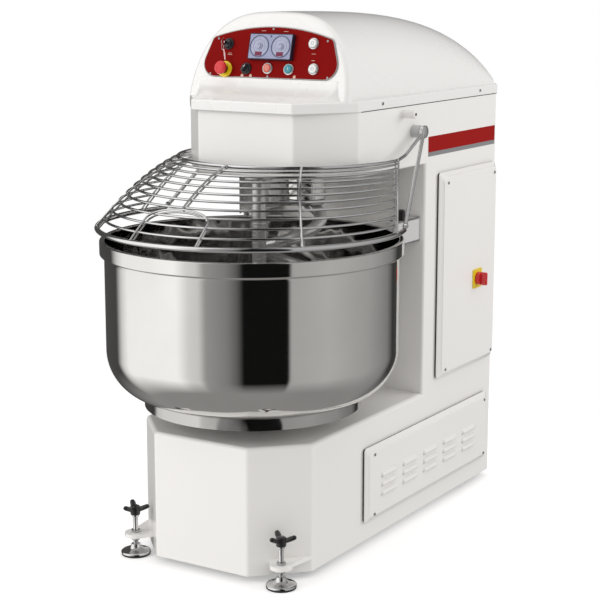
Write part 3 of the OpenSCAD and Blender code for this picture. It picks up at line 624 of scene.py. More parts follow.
def scoop(y, z, width, sign, face):
    """One pressed louvre: a long blister with closed round ends and an open slot below."""
    n_long, n_round = 18, 8
    rise, height = 0.0085, 0.017
    rows = []
    for i in range(n_long + 1):
        t = i / n_long
        end = math.sqrt(max(0.0, 1 - (2 * t - 1) ** 8))
        rows.append([(sign * (face + 0.0004 + rise * end * math.sin(math.pi * 0.72 * (1 - k / n_round))),
                      y + width * t, z + height * (k / n_round - 0.15) * (0.55 + 0.45 * end))
                     for k in range(n_round + 1)])
    inner = [[(p[0] - sign * 0.0014, p[1], p[2] + 0.0004) for p in row] for row in rows]
    loops = [row + back[::-1] for row, back in zip(rows, inner)]
    return loft(loops)


def louvres():
    lo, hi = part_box("louvre_panels")
    depth = LOUVRE_DEPTH
    for sign, side in SIDES:
        # slot 1 is the dark strip of painted shade in the gap round the panel's foot
        form = Form().add(on_side(cover(lo, hi, depth, 0.016), sign)).add(on_side(gap_shade(lo, hi), sign), slot=1)
        # dark plates in the louvres' open slots: painted shade for the dark inside of the casing
        slots = Form()
        for column in range(5):
            for row in range(3):
                y, z = lo.y + 0.084 + 0.142 * column, lo.z + 0.076 + 0.03 * row
                form.add(scoop(y, z, 0.101, sign, HALF_W + depth))
                dark = rect(y + 0.004, z - 0.005, y + 0.097, z + 0.001)
                slots.add(on_side(slab(dark, depth - 0.002, depth + 0.0003, 0.001), sign))
        nodes = ["louvre_panels"] if sign > 0 else []
        piece("louvre_panel_" + side, form, ["casing_paint", "seal_dark"], "root", nodes, 25.0)
        piece("louvre_slot_shades_" + side, slots, "seal_dark", "root")


def stripes():
    lo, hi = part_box("side_stripes")
    split = lo.z + 0.0138
    for sign, side in SIDES:
        for z0, z1, tone in ((split, hi.z, "stripe_red"), (lo.z, split - 0.0002, "stripe_grey")):
            form = Form().add(on_side(slab(rect(lo.y, z0, hi.y, z1), 0, 0.0008, 0.001, top=0.0003), sign))
            nodes = ["side_stripes"] if (tone, sign) == ("stripe_red", 1) else []
            piece(tone + "_" + side, form, tone, "root", nodes)


SCREW_HEAD = [(0.0, 0.0), (0.0048, 0.0), (0.005, 0.0008), (0.0045, 0.0022), (0.0032, 0.0029), (0.0022, 0.003),
              (0.002, 0.0014), (0.0, 0.0012)]


def screws():
    """Button-head screws on the covers, the hood's lip and the control panel."""
    form = Form()
    door_x, louvre_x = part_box("side_door")[1].x, HALF_W + LOUVRE_DEPTH
    places = [(HALF_W, -0.043, SEAM + 0.018), (HALF_W, 0.633, SEAM + 0.018)]
    places += [(door_x, y, z) for y in (0.364, 0.714) for z in (0.476, 1.104)]
    places += [(louvre_x, y, z) for y in (-0.106, 0.68) for z in (0.105, 0.3)]
    for x, y, z in places:
        for sign in (1, -1):
            form.add(lathe(SCREW_HEAD, 20), sideways((sign * x, y, z), sign))
    for u, v in ((-0.212, 0.009), (0.212, 0.009), (-0.197, 0.119), (0.197, 0.119), (0, 0.006), (0, 0.152)):
        form.add(lathe([(r * 0.72, z * 0.5) for r, z in SCREW_HEAD], 16), on_panel(u, v, 0.0026))
    piece("screw_heads", form, "screw_steel", "root", ["cover_screws"])


# ---------- control panel ----------
PANEL_ANGLE = math.atan(HOOD_LEAN)
PANEL_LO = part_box("control_panel")[0]
PANEL_T = 0.0025


def on_panel(u=0.0, v=0.0, w=0.0):
    """Frame of the leaning panel: u across, v up, w outwards."""
    z = PANEL_LO.z
    origin = Vector((0, HOOD_FRONT + HOOD_LEAN * (z - LIP_TOP), z))
    leaning = Matrix.Translation(origin) @ Matrix.Rotation(math.pi / 2 - PANEL_ANGLE, 4, "X")
    return leaning @ Matrix.Translation((u, v, w))


def panel_outline(d):
    """Outline of the control panel, moved inwards by d."""
    low, high, arch_r, top = (0.26, 0.0), (0.217, 0.125), 0.681, 0.16
    arch = arc((0, top - arch_r), arch_r, 73.5, 106.5, 20)
    right = fillet(low, (0.0, 0.0), high, 0.045, 8) + fillet(high, low, arch[0], 0.022, 8)
    points = right + arch[1:-1] + [(-x, y) for x, y in right[::-1]]
    out = []
    for i, p in enumerate(points):
        along = Vector(points[(i + 1) % len(points)]) - Vector(points[i - 1])
        out.append((p[0] - d * along.y / along.length, p[1] + d * along.x / along.length))
    return out


def panel_loft(levels):
    """Plate in the panel's outline, from pairs of inset and height."""
    return Form().add(loft([[(x, y, z) for x, y in panel_outline(d)] for d, z in levels]), on_panel())


def control_panel():
    border = panel_loft([(0.0, 0.0), (0.0, 0.0018), (0.0007, 0.0025), (0.0028, 0.0025)])
    piece("panel_border", border, "panel_border", "root", ["control_panel"], 40.0)
    piece("panel_face", panel_loft([(0.0028, 0.002), (0.0028, 0.0027), (0.0032, 0.0029)]), "panel_red", "root")


KEY, ESTOP, MODE, STOP, START = (-0.156, 0.103), (-0.158, 0.024), (-0.08, 0.028), (-0.002, 0.031), (0.074, 0.03)
WHITE_HIGH, WHITE_LOW = (0.15, 0.11), (0.161, 0.033)
TIMER = (-0.072, 0.055, 0.155, 0.08, 0.016)
DIALS = ((-0.033, 0.095), (0.044, 0.095))


def bezels():
    ring = [(0.0135, 0.0), (0.0182, 0.0), (0.0184, 0.0022), (0.0176, 0.0048), (0.016, 0.0062), (0.0143, 0.0064),
            (0.0136, 0.0058), (0.0135, 0.0)]
    form = Form()
    for u, v in (STOP, START, WHITE_HIGH, WHITE_LOW):
        form.add(lathe(ring, 64), on_panel(u, v, PANEL_T))
    piece("button_rings", form, "chrome", "root", ["button_bezels"])
    dark = Form()
    for u, v in (KEY, MODE):
        dark.add(lathe(ring, 64), on_panel(u, v, PANEL_T))
    piece("selector_rings", dark, "black_plastic", "root")


def push_buttons():
    cap = [(0.0, 0.0), (0.0128, 0.0), (0.013, 0.0035), (0.0124, 0.0056), (0.0108, 0.0064), (0.0075, 0.0062),
           (0.0, 0.0058)]
    for name, at, tone in (("stop", STOP, "lit_red"), ("start", START, "teal_plastic"),
                           ("upper_white", WHITE_HIGH, "white_plastic"), ("lower_white", WHITE_LOW, "white_plastic")):
        form = Form().add(lathe(cap, 48), on_panel(*at, 0.0064))
        # raised mark: a bar on the start button, a ring on the others
        if name == "start":
            mark = slab(rect(-0.0008, -0.0045, 0.0008, 0.0045), 0.0058, 0.0068, 0.0006, top=0.0003)
        else:
            mark = lathe([*rect(0.004, 0.0054, 0.0052, 0.0066), (0.004, 0.0054)], 32)
        form.add(mark, on_panel(*at, 0.0062), 1)
        marks = {"stop": "label_cream", "start": "white_plastic"}.get(name, "timer_grey")
        node = name + "_button"
        piece(node + "_cap", form, [tone, marks], name, [node])


def emergency_stop():
    collar = [(0.0125, 0.0), (0.025, 0.0), (0.0252, 0.0035), (0.024, 0.005), (0.016, 0.0056), (0.013, 0.0056),
              (0.0125, 0.0)]
    piece("estop_ring", Form().add(lathe(collar, 64), on_panel(*ESTOP, PANEL_T)), "yellow_plastic", "root",
          ["estop_collar"])
    stem = [(0.0, 0.0), (0.011, 0.0), (0.0112, 0.012), (0.015, 0.015), (0.0, 0.015)]
    head = [(0.0, 0.013), (0.015, 0.013), (0.019, 0.015), (0.0208, 0.0185), (0.021, 0.0215), (0.0198, 0.025),
            (0.016, 0.0272), (0.009, 0.028), (0.0, 0.0281)]
    form = Form().add(lathe(stem, 48), on_panel(*ESTOP, 0.009), 1)
    form.add(lathe(head, 72), on_panel(*ESTOP, 0.009))
    # two twist arrows standing proud on the crown
    for turn in (0, math.pi):
        band = [(0.0115 * math.cos(a), 0.0115 * math.sin(a), 0.0276) for a in [turn + 0.12 * k for k in range(14)]]
        form.add(tube(band, 0.0007, 8), on_panel(*ESTOP, 0.009))
    piece("estop_mushroom", form, ["red_plastic", "black_plastic"], "estop", ["estop_button"])


def selectors():
    drum = [(0.0, 0.0), (0.0129, 0.0), (0.0129, 0.008), (0.0118, 0.0092), (0.0, 0.0092)]
    knob = Form().add(lathe(drum, 48), on_panel(*MODE, 0.003))
    wing = slab([(-0.004, -0.0122), (0.004, -0.0122), (0.0028, 0.0122), (-0.0028, 0.0122)], 0.0085, 0.0208, 0.0018,
                top=0.0022)
    at = on_panel(*MODE, 0.003) @ Matrix.Rotation(math.radians(-40), 4, "Z")
    knob.add(wing, at).add(slab(rect(-0.0007, 0.001, 0.0007, 0.011), 0.02, 0.021, 0.0005), at, 1)
    piece("mode_knob", knob, ["black_plastic", "white_plastic"], "mode", ["mode_selector"])
    barrel = [(0.0, 0.0), (0.0129, 0.0), (0.0129, 0.0105), (0.0115, 0.012), (0.007, 0.0122), (0.0066, 0.0112),
              (0.0, 0.0112)]
    at = on_panel(*KEY, 0.003)
    key = Form().add(lathe(barrel, 48), at)
    key.add(slab(rect(-0.0011, -0.004, 0.0011, 0.004), 0.01, 0.026, 0.0004), at, 1)
    bow = [(0.004, -0.0011), (0.0105, -0.0011), (0.011, 0.0), (0.0105, 0.0011), (0.004, 0.0011), (0.004, -0.0011)]
    key.add(lathe(bow, 40), at @ sideways((0, 0, 0.032)), 1)
    piece("key_and_barrel", key, ["black_plastic", "chrome"], "key", ["key_selector"])
    # cord ring and ribbon tag hanging from the key's bow
    tag = Form()
    loop = [(0.0035 * math.sin(a) - 0.004, -0.01 - 0.01 * math.cos(a) - 0.004, 0.028 - 0.002 * math.cos(a))
            for a in [2 * math.pi * k / 24 for k in range(24)]]
    tag.add(tube(loop + loop[:1], 0.0006, 8, dome=False), at, 1)
    drop = [(0.0, -0.022, 0.026), (0.002, -0.033, 0.022), (0.003, -0.043, 0.019), (0.004, -0.0525, 0.017)]
    for k, (a, b) in enumerate(zip(drop, drop[1:])):
        a, b = Vector(a), Vector(b)
        side = Vector((0.0022, 0.0004, 0.0006 * (-1) ** k))
        thick = Vector((0, 0.0001, 0.0004))
        ring = [[p - side - thick, p + side - thick, p + side + thick, p - side + thick] for p in (a, (a + b) / 2, b)]
        tag.add(loft(ring), at)
    piece("key_tag", tag, ["ribbon_pink", "chrome"], "key")


def timers():
    u, v, w, h, t = TIMER
    box = Form().add(slab(rect(u, v, u + w, v + h), PANEL_T, PANEL_T + t, 0.003, top=0.0012), on_panel())
    face = rect(u + 0.003, v + 0.003, u + w - 0.003, v + h - 0.003)
    box.add(slab(face, PANEL_T + t - 0.0005, PANEL_T + t + 0.0004, 0.002, top=0.0002), on_panel(), 1)
    top = PANEL_T + t + 0.0003
    for du, dv in DIALS:
        at = on_panel(du, dv, top)
        ring = [(0.0322, 0.0), (0.0334, 0.0), (0.0336, 0.0016), (0.0326, 0.002), (0.0318, 0.0012), (0.0322, 0.0)]
        box.add(lathe(ring, 96), at, 2)
        box.add(lathe([(0.0, 0.0), (0.03, 0.0), (0.0298, 0.0007), (0.0, 0.0007)], 72), at, 3)
        ring = [(0.0202, 0.0), (0.0209, 0.0), (0.0207, 0.0012), (0.0203, 0.0012), (0.0202, 0.0)]
        box.add(lathe(ring, 72), at, 2)
        for k in range(31):
            a = math.radians(-150 + 10 * k)
            r0 = 0.0262 if k % 5 else 0.024
            tick = slab(rect(-0.0003, r0, 0.0003, 0.0285), 0.0005, 0.001, 0.0001)
            box.add(tick, at @ Matrix.Rotation(-a, 4, "Z"), 2)
        label = [(-0.0125, -0.029), (0.0105, -0.029), (0.012, -0.0165), (-0.0125, -0.0165)]
        box.add(slab(label, 0.0004, 0.0014, 0.0008, top=0.0003), at, 4)
    # sunk screw between the dials
    box.add(lathe([(r * 0.6, z * 0.5) for r, z in SCREW_HEAD], 16), on_panel(u + w / 2, v + h - 0.009, top), 2)
    piece("timer_unit", box, ["timer_body", "timer_grey", "dial_dark", "dial_plastic", "dial_maroon"], "root",
          ["timer_box"])
    for name, (du, dv) in zip(("timer_left", "timer_right"), DIALS):
        hub = [(0.0, 0.0), (0.0118, 0.0), (0.012, 0.0016), (0.011, 0.0028), (0.0086, 0.003), (0.008, 0.0064),
               (0.007, 0.0074), (0.0, 0.0076)]
        at = on_panel(du, dv, top + 0.0008)
        form = Form().add(lathe(hub, 48), at)
        form.add(slab(rect(-0.0005, 0.002, 0.0005, 0.0066), 0.007, 0.008, 0.0002), at, 1)
        piece(name + "_pointer", form, ["dial_plastic", "dial_dark"], name,
              [name.replace("timer", "timer_knob")])


def panel_marks():
    """Plain dashes and dots in place of lettering."""
    form = Form()
    for u, v, w in ((-0.034, 0.146, 0.016), (0.046, 0.145, 0.016), (0.154, 0.079, 0.014), (0.155, 0.059, 0.012),
                    (-0.148, 0.0745, 0.014), (-0.148, 0.07, 0.017)):
        form.add(slab(rect(u - w / 2, v - 0.0007, u + w / 2, v + 0.0007), 0.0027, 0.0031, 0.0005), on_panel())
    for u, v in ((-0.093, 0.0065), (-0.062, 0.0065), (0.096, 0.0075)):
        form.add(lathe([(0.0, 0.0), (0.005, 0.0), (0.005, 0.0004), (0.0, 0.0004)], 24), on_panel(u, v, 0.0027))
    piece("panel_marks", form, "label_cream", "root")


# ---------- isolator ----------
def isolator():
    lo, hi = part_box("isolator_plate")
    depth = lo.x - HALF_W
    form = Form().add(on_side(slab(rect(lo.y, lo.z, hi.y, hi.z), depth, depth + 0.004, 0.006, top=0.0012), 1))
    piece("isolator_escutcheon", form, "yellow_plastic", "root", ["isolator_plate"])
    at = sideways((hi.x + 0.0003, (lo.y + hi.y) / 2, (lo.z + hi.z) / 2))
    drum = [(0.0, 0.0), (0.0218, 0.0), (0.022, 0.011), (0.0205, 0.0138), (0.0, 0.014)]
    knob = Form().add(lathe(drum, 64), at)
    knob.add(slab(rect(-0.0225, -0.006, 0.0225, 0.006), 0.0125, 0.0355, 0.0055, top=0.0045), at)
    piece("isolator_handle", knob, "red_plastic", "isolator", ["isolator_knob"])


# ---------- bowl and kneading tool ----------
def bowl():
    """Bowl with rolled rim band and rounded lower corner, turned in one piece."""
    outer, rim, corner = 0.45, bowl_hi.x, 0.15
    floor_z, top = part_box("bowl_shaft")[1].z, bowl_hi.z
    flat, arc_z = outer - corner, floor_z + corner
    outside = [(0.0, floor_z)] + arc((flat, arc_z), corner, -90, 0, 24)
    band = top - 0.046
    outside += [(outer, arc_z + 0.03), (outer, band - 0.012), (outer, band - 0.004), (outer + 0.0012, band - 0.001)]
    outside += arc((rim - 0.006, band + 0.006), 0.006, -90, 0, 4) + arc((rim - 0.005, top - 0.005), 0.005, 0, 90, 5)
    inner_r = outer - 0.003
    inside = arc((inner_r + 0.004, top - 0.004), 0.004, 90, 180, 4) + arc((flat, arc_z), corner - 0.003, 0, -88, 24)
    inside += [(0.0, floor_z + 0.0045)]
    segments = 224
    form = Form().add(lathe(outside + inside, segments), Matrix.Translation(BOWL_AXIS))
    inner_faces = segments * (len(inside) - 1)
    form.slots[-inner_faces:] = [1] * inner_faces
    skirt_lo = bowl_lo.z
    skirt = [(0.33, skirt_lo + 0.034), (0.33, skirt_lo), (0.336, skirt_lo), (0.336, skirt_lo + 0.034)]
    form.add(lathe(skirt + skirt[:1], 160), Matrix.Translation(BOWL_AXIS), 1)
    piece("bowl_shell", form, ["polished_stainless", "bowl_inside"], "bowl", ["bowl"], 32.0)


def hook_point(t):
    """Centre line of the kneading hook, from the spindle's flange (t = 0) to its tip (t = 1)."""
    lo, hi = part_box("spiral_hook")
    rod = 0.02
    top, bottom = hi.z - rod, lo.z + rod
    share = 1.1 * t if t < 0.12 else 0.132 + (t - 0.12) * 0.868 / 0.88
    z = top - (top - bottom) * share
    floor_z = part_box("bowl_shaft")[1].z
    rise, room = max(0.0, floor_z + 0.15 - z), 0.117
    reach = min(0.15, 0.3 + math.sqrt(max(1e-6, room ** 2 - rise ** 2)) + BOWL_Y - SPIRAL_AXIS.y - 0.002)
    out = math.sin(math.pi / 2 * min(1.0, t / 0.22))
    a = math.radians(20 - 360 * 1.6 * t)
    r = 0.008 + (reach - 0.008) * out
    return SPIRAL_AXIS + Vector((r * math.cos(a), r * math.sin(a), z))


def spiral():
    points = [hook_point(k / 140) for k in range(141)]
    form = Form().add(tube(points, 0.0198, 28, up=Z))
    piece("hook_bar", form, "satin_stainless", "spiral", ["spiral_hook"])
    lo, hi = spindle_lo, spindle_hi
    at = Matrix.Translation(SPIRAL_AXIS)
    flange = HEAD_BOTTOM
    housing = [(0.0302, lo.z), (0.063, lo.z), (0.065, lo.z + 0.002), (0.065, lo.z + 0.016),
               (0.0632, lo.z + 0.018),
               (0.0632, lo.z + 0.021), (0.065, lo.z + 0.023), (0.065, flange - 0.016), (0.07, flange - 0.012),
               (0.082, flange - 0.01), (0.084, flange - 0.008), (0.084, flange - 0.0005), (0.065, flange - 0.0005),
               (0.065, hi.z), (0.0302, hi.z), (0.0302, lo.z)]
    form = Form().add(lathe(housing, 96), at)
    bolt_ring(form, SPIRAL_AXIS, flange - 0.0105, 0.0745, 6, 0.0058, 0.002)
    piece("spindle_sleeve", form, ["polished_stainless", "screw_steel"], "root",
          ["spindle_housing"])
    lo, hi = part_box("spindle")
    flange = [(0.0, lo.z), (0.058, lo.z), (0.062, lo.z + 0.003), (0.062, lo.z + 0.014), (0.06, lo.z + 0.017),
              (0.03, lo.z + 0.017), (0.03, hi.z - 0.002), (0.028, hi.z), (0.0, hi.z)]
    form = Form().add(lathe(flange, 72), at)
    piece("spindle_turned", form, "machined_steel", "spiral", ["spindle"])


def breaker_bar():
    lo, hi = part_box("breaker_bar")
    center = (lo + hi) / 2
    profile = [(0.0, lo.z)] + arc((0.013, lo.z + 0.009), 0.009, -90, 0, 6)
    profile += [(0.022, lo.z + 0.016), (0.022, hi.z - 0.024), (0.024, hi.z - 0.018), (0.03, hi.z - 0.0145),
                (0.046, hi.z - 0.013), (0.048, hi.z - 0.011), (0.048, hi.z), (0.0, hi.z)]
    at = Matrix.Translation((center.x, center.y, 0))
    form = Form().add(lathe(profile, 64), at)
    bolt_ring(form, center, hi.z - 0.0135, 0.038, 4, 0.005, 0.001)
    piece("breaker_column", form, ["satin_stainless", "screw_steel"], "root", ["breaker_bar"])


# ---------- bowl guard ----------
RING_R, RING_Z = 0.469, 1.025
GUARD_RISE, SHRINK, BACK = 0.192, 0.114, 0.225
PIVOT = Vector((0, 0.155, 1.289))
ARM_X = 0.345
GUARD_END, RING_END = 98.0, 109.0


def dome_z(s):
    return RING_Z + GUARD_RISE * (1.54 * s - 0.54 * s * s)


def dome_out(a):
    b = math.atan((SHRINK + BACK * math.cos(a)) / GUARD_RISE)
    return Vector((math.sin(a) * math.cos(b), -math.cos(a) * math.cos(b), math.sin(b)))


def dome_point(s, degrees, off=0.0):
    a = math.radians(degrees)
    r = RING_R - SHRINK * s
    return Vector((r * math.sin(a), BACK * s + BOWL_Y - r * math.cos(a), dome_z(s))) + off * dome_out(a)


def dome_arc(s, end, steps=120):
    return [dome_point(s, -end + 2 * end * k / steps) for k in range(steps + 1)]


def rib_pair(form, path, rod=0.003, gap=0.0053):
    for off in (-gap, gap):
        form.add(tube([dome_point(s, a, off) for s, a in path], rod, 12))


def guard():
    form = Form()
    form.add(tube(dome_arc(0, RING_END, 160), 0.008, 20))
    hub = PIVOT + X * ARM_X
    foot = [dome_point(0, RING_END), hub]
    top = dome_arc(1, GUARD_END, 110)
    bend = Vector((ARM_X, 0.032, 1.226))
    right = smooth_path([top[-1], bend, hub], 0.035, 8)
    left = [Vector((-p.x, p.y, p.z)) for p in right]
    form.add(tube(left[::-1] + top[1:-1] + right, 0.006, 18))
    for sign in (1, -1):
        path = [Vector((sign * p.x, p.y, p.z)) for p in foot]
        form.add(tube(path, 0.006, 18))
        # nut and bolt head where the strut meets the ring
        along = (path[1] - path[0]).normalized()
        at = Matrix.Translation(path[0] + along * 0.012) @ along.to_track_quat("Z", "Y").to_matrix().to_4x4()
        nut = [(0.0, 0.0), (0.0088, 0.0), (0.0095, 0.001), (0.0095, 0.009), (0.0088, 0.01), (0.0, 0.01)]
        form.add(lathe(nut, 6), at)
    piece("guard_hoops", form, "chrome", "guard", ["guard_frame"])
    rods = Form()
    for k in range(1, 11):
        rods.add(tube(dome_arc(k / 11, GUARD_END, 96), 0.0038, 12))
    piece("guard_wires", rods, "chrome", "guard", ["guard_rods"])
    ribs = Form()
    for sign in (1, -1):
        rib_pair(ribs, [(s / 24, sign * (51 - 14 * s / 24)) for s in range(25)])
        rib_pair(ribs, [(s / 24, sign * (GUARD_END - 1)) for s in range(25)])
    rib_pair(ribs, [(0.34 + 0.66 * s / 16, 0) for s in range(17)])
    half, side_top, top_s = 14, 0.2, 0.33
    arch = [(side_top * k / 5, -half) for k in range(5)]
    arch += [(side_top + (top_s - side_top) * math.sin(a), half * math.cos(a))
             for a in [math.radians(180 - 7.5 * k) for k in range(25)]]
    arch += [(side_top * k / 5, half) for k in range(4, -1, -1)]
    rib_pair(ribs, arch)
    piece("guard_strips", ribs, "chrome", "guard", ["guard_ribs"])
    shaft = Form()
    across = sideways(PIVOT)
    shaft.add(lathe([(0.0, -ARM_X), (0.012, -ARM_X), (0.012, ARM_X), (0.0, ARM_X)], 40), across)
    disc = [(0.0, -0.007), (0.019, -0.007), (0.0208, -0.0055), (0.021, 0.003), (0.02, 0.006), (0.016, 0.0082),
            (0.009, 0.009), (0.0, 0.009)]
    for sign in (1, -1):
        shaft.add(lathe(disc, 64), sideways(PIVOT + X * sign * ARM_X, sign))
    shaft.add(lathe([(0.012, -0.27), (0.022, -0.27), (0.022, -0.258), (0.012, -0.258), (0.012, -0.27)], 40), across)
    piece("guard_axle", shaft, "chrome", "guard", ["guard_shaft"])


def bosses():
    """Bosses that carry the guard's axle and the rubber-tipped stop pegs above them."""
    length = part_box("guard_bosses_and_stops")[1].x - HALF_W
    form = Form()
    long = ARM_X - 0.0075 - HALF_W
    peg = Vector((0, 0.087, 1.348))
    for sign in (1, -1):
        at = sideways(PIVOT + X * sign * HALF_W, sign)
        boss = [(0.0122, 0.0), (0.02, 0.0), (0.02, long - 0.0015), (0.0188, long), (0.0122, long), (0.0122, 0.0)]
        form.add(lathe(boss, 56), at)
        at = sideways(peg + X * sign * HALF_W, sign)
        form.add(lathe([(0.0, 0.0), (0.0135, 0.0), (0.0135, 0.003), (0.0125, 0.005), (0.0125, length - 0.003),
                        (0.0105, length - 0.0008), (0.0052, length - 0.0008), (0.0, length - 0.0008)], 48), at, 1)
        form.add(lathe([(0.0, length - 0.002), (0.005, length - 0.002), (0.0048, length), (0.0, length)], 24), at, 2)
    piece("pivot_bosses_and_pegs", form, ["boss_grey", "casing_paint", "knob_black"], "root",
          ["guard_bosses_and_stops"])


# ---------- rollers ----------
def rollers():
    lo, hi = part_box("bowl_roller_right")
    center = (lo + hi) / 2
    form = Form()
    bracket_lo, bracket_hi = lo.z - 0.0065, hi.z + 0.0065
    x, y = center.x, center.y
    fork = rect(x - 0.02, y - 0.014, x + 0.028, COLUMN_FRONT)
    plates = [slab(fork, z, z + 0.006, 0.006, top=0.001, bottom=0.001) for z in (bracket_lo, bracket_hi - 0.006)]
    plates.append(slab(rect(x + 0.022, y - 0.024, x + 0.028, COLUMN_FRONT), bracket_lo, bracket_hi, 0.0025,
                       top=0.001, bottom=0.001))
    plates.append(slab(rect(x - 0.03, COLUMN_FRONT - 0.006, x + 0.028, COLUMN_FRONT), bracket_lo, bracket_hi, 0.002,
                       top=0.001, bottom=0.001))
    cap = [(0.0, 0.0), (0.0128, 0.0), (0.013, 0.002), (0.013, 0.026), (0.0118, 0.031), (0.008, 0.0338),
           (0.0, 0.034)]
    pin = [(0.0, bracket_lo - 0.005), (0.006, bracket_lo - 0.005), (0.006, bracket_hi + 0.005),
           (0.0, bracket_hi + 0.005)]
    for sign in (1, -1):
        for plate in plates:
            form.add(plate if sign > 0 else mirrored(plate))
        bolt = Matrix.Translation((sign * (x + 0.014), y + 0.036, 0))
        form.add(lathe([(r, bracket_hi + 0.0003 + z) for r, z in cap], 40), bolt, 1)
        form.add(lathe([(r, bracket_lo - 0.0003 - z * 0.93) for r, z in cap], 40), bolt, 1)
        form.add(lathe(pin, 32), Matrix.Translation((sign * x, y, 0)), 2)
    piece("roller_carriers", form, ["bracket_grey", "knob_black", "machined_steel"], "root",
          ["roller_brackets"])
    for sign, side in SIDES:
        tread = [(0.0061, lo.z), (0.016, lo.z), (0.018, lo.z + 0.002), (0.018, hi.z - 0.002), (0.016, hi.z),
                 (0.0061, hi.z), (0.0061, lo.z)]
        wheel = Form().add(lathe(tread, 56), Matrix.Translation((sign * x, y, 0)))
        piece("bowl_roller_tread_" + side, wheel, "roller_nylon", "bowl_roller_" + side,
              ["bowl_roller_" + side])


# ---------- feet ----------
FOOT_X, FOOT_Y = 0.269, -0.56


def feet():
    bracket = Form()
    pad_lo, pad_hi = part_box("foot_pad_right")
    pad_r = (pad_hi.x - pad_lo.x) / 2
    bracket_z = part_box("foot_brackets")[1].z - 0.012
    outline = [(0.213, -0.54), *arc((FOOT_X, FOOT_Y), 0.034, -150, 44, 18), (HALF_W - 0.0005, -0.445)]
    rings = [[(x, y, z) for x, y in outline] for z in (bracket_z, bracket_z + 0.012)]
    for sign in (1, -1):
        tab = loft(rings)
        bracket.add(tab if sign > 0 else mirrored(tab))
        at = Matrix.Translation((sign * FOOT_X, FOOT_Y, bracket_z - 0.0123))
        nut = [(0.0, 0.0), (0.013, 0.0), (0.015, 0.0016), (0.015, 0.0104), (0.013, 0.012), (0.0, 0.012)]
        bracket.add(lathe(nut, 6), at, 1)
        lock = [(0.0, 0.0), (0.013, 0.0), (0.015, 0.0014), (0.015, 0.007), (0.013, 0.0084), (0.0, 0.0084)]
        bracket.add(lathe(lock, 6), Matrix.Translation((sign * FOOT_X, FOOT_Y, bracket_z + 0.012)), 1)
    piece("foot_tabs", bracket, ["casing_paint", "screw_steel"], "root", ["foot_brackets"], 40.0)
    pad = [(0.0, 0.0), (pad_r - 0.003, 0.0), (pad_r - 0.001, 0.0015), (pad_r - 0.001, 0.0055),
           (pad_r - 0.0025, 0.0062), (0.0, 0.0062)]
    bell = [(0.0, 0.006), (pad_r - 0.0025, 0.006), (pad_r, 0.0072), (pad_r, 0.0108), (pad_r - 0.003, 0.0138),
            (0.036, 0.0152), (0.03, 0.017), (0.0225, 0.0205), (0.0175, 0.025), (0.0155, 0.029), (0.014, 0.034),
            (0.012, 0.035), (0.0081, 0.035), (0.0081, 0.027), (0.0, 0.027)]
    for sign, side in SIDES:
        at = Matrix.Translation((sign * FOOT_X, FOOT_Y, 0))
        form = Form().add(lathe(pad, 64), at, 1).add(lathe(bell, 72), at)
        piece("foot_bell_" + side, form, ["chrome", "wheel_rubber"], "foot_" + side, ["foot_pad_" + side])
        handscrew(at, side)


def handscrew(at, side):
    """Threaded spindle with a chromed collar and a three-armed knob."""
    bottom, top, pitch = 0.0272, 0.124, 0.0024
    thread = []
    turns = int((top - bottom) / pitch)
    for k in range(turns):
        z = bottom + pitch * k
        thread += [(0.007, z), (0.008, z + pitch * 0.5)]
    profile = [(0.0, bottom)] + thread + [(0.007, top), (0.0, top)]
    form = Form().add(lathe(profile, 36), at, 1)
    collar = [(0.0, 0.1205), (0.0092, 0.1205), (0.0112, 0.1222), (0.0112, 0.1268), (0.0098, 0.1285), (0.0, 0.1285)]
    form.add(lathe(collar, 40), at, 1)
    hub = [(0.0, 0.1283), (0.0135, 0.1283), (0.015, 0.13), (0.0158, 0.14), (0.0165, 0.149), (0.015, 0.155),
           (0.0105, 0.158), (0.0, 0.1585)]
    form.add(lathe(hub, 40), at)
    for k in range(3):
        a = math.radians(20 + 120 * k)
        direction = Vector((math.cos(a), math.sin(a), 0))
        rings = []
        for step in range(15):
            t = step / 14
            point = direction * (0.006 + 0.0395 * t) + Z * (0.1445 + 0.0165 * t ** 1.25)
            tangent = (direction * 0.0345 + Z * 0.0165 * 1.25 * max(t, 0.05) ** 0.25).normalized()
            across = Z.cross(direction)
            normal = tangent.cross(across)
            end = 1 if t < 0.86 else math.sqrt(max(0.02, 1 - ((t - 0.86) / 0.14) ** 2))
            wide = (0.0072 + 0.004 * math.sin(math.pi * min(1.0, t * 1.02)) ** 2 * t) * end
            tall = (0.008 - 0.001 * t) * end
            rings.append([point + across * wide * math.cos(b) + normal * tall * math.sin(b)
                          for b in [2 * math.pi * j / 16 for j in range(16)]])
        form.add(loft(rings), at)
    piece("star_knob_" + side, form, ["knob_black", "chrome"], "handscrew_" + side,
          ["handscrew_" + side], 50.0)


# ---------- parts that keep their CAD shape ----------
def carried_over():
    for name, node in NODES.items():
        node.data.materials.clear()
        node.data.materials.append(M[NODE_SLOTS[name]])
        node.data.polygons.foreach_set("use_smooth", [True] * len(node.data.polygons))
    for name, width in (("dough_deflector", 0.0008), ("rear_cover", 0.001), ("front_wheel_left", 0.004),
                        ("rear_wheel_left", 0.004), ("front_wheel_right", 0.004), ("rear_wheel_right", 0.004),
                        ("wheel_forks", 0.0008)):
        softened(name, width)


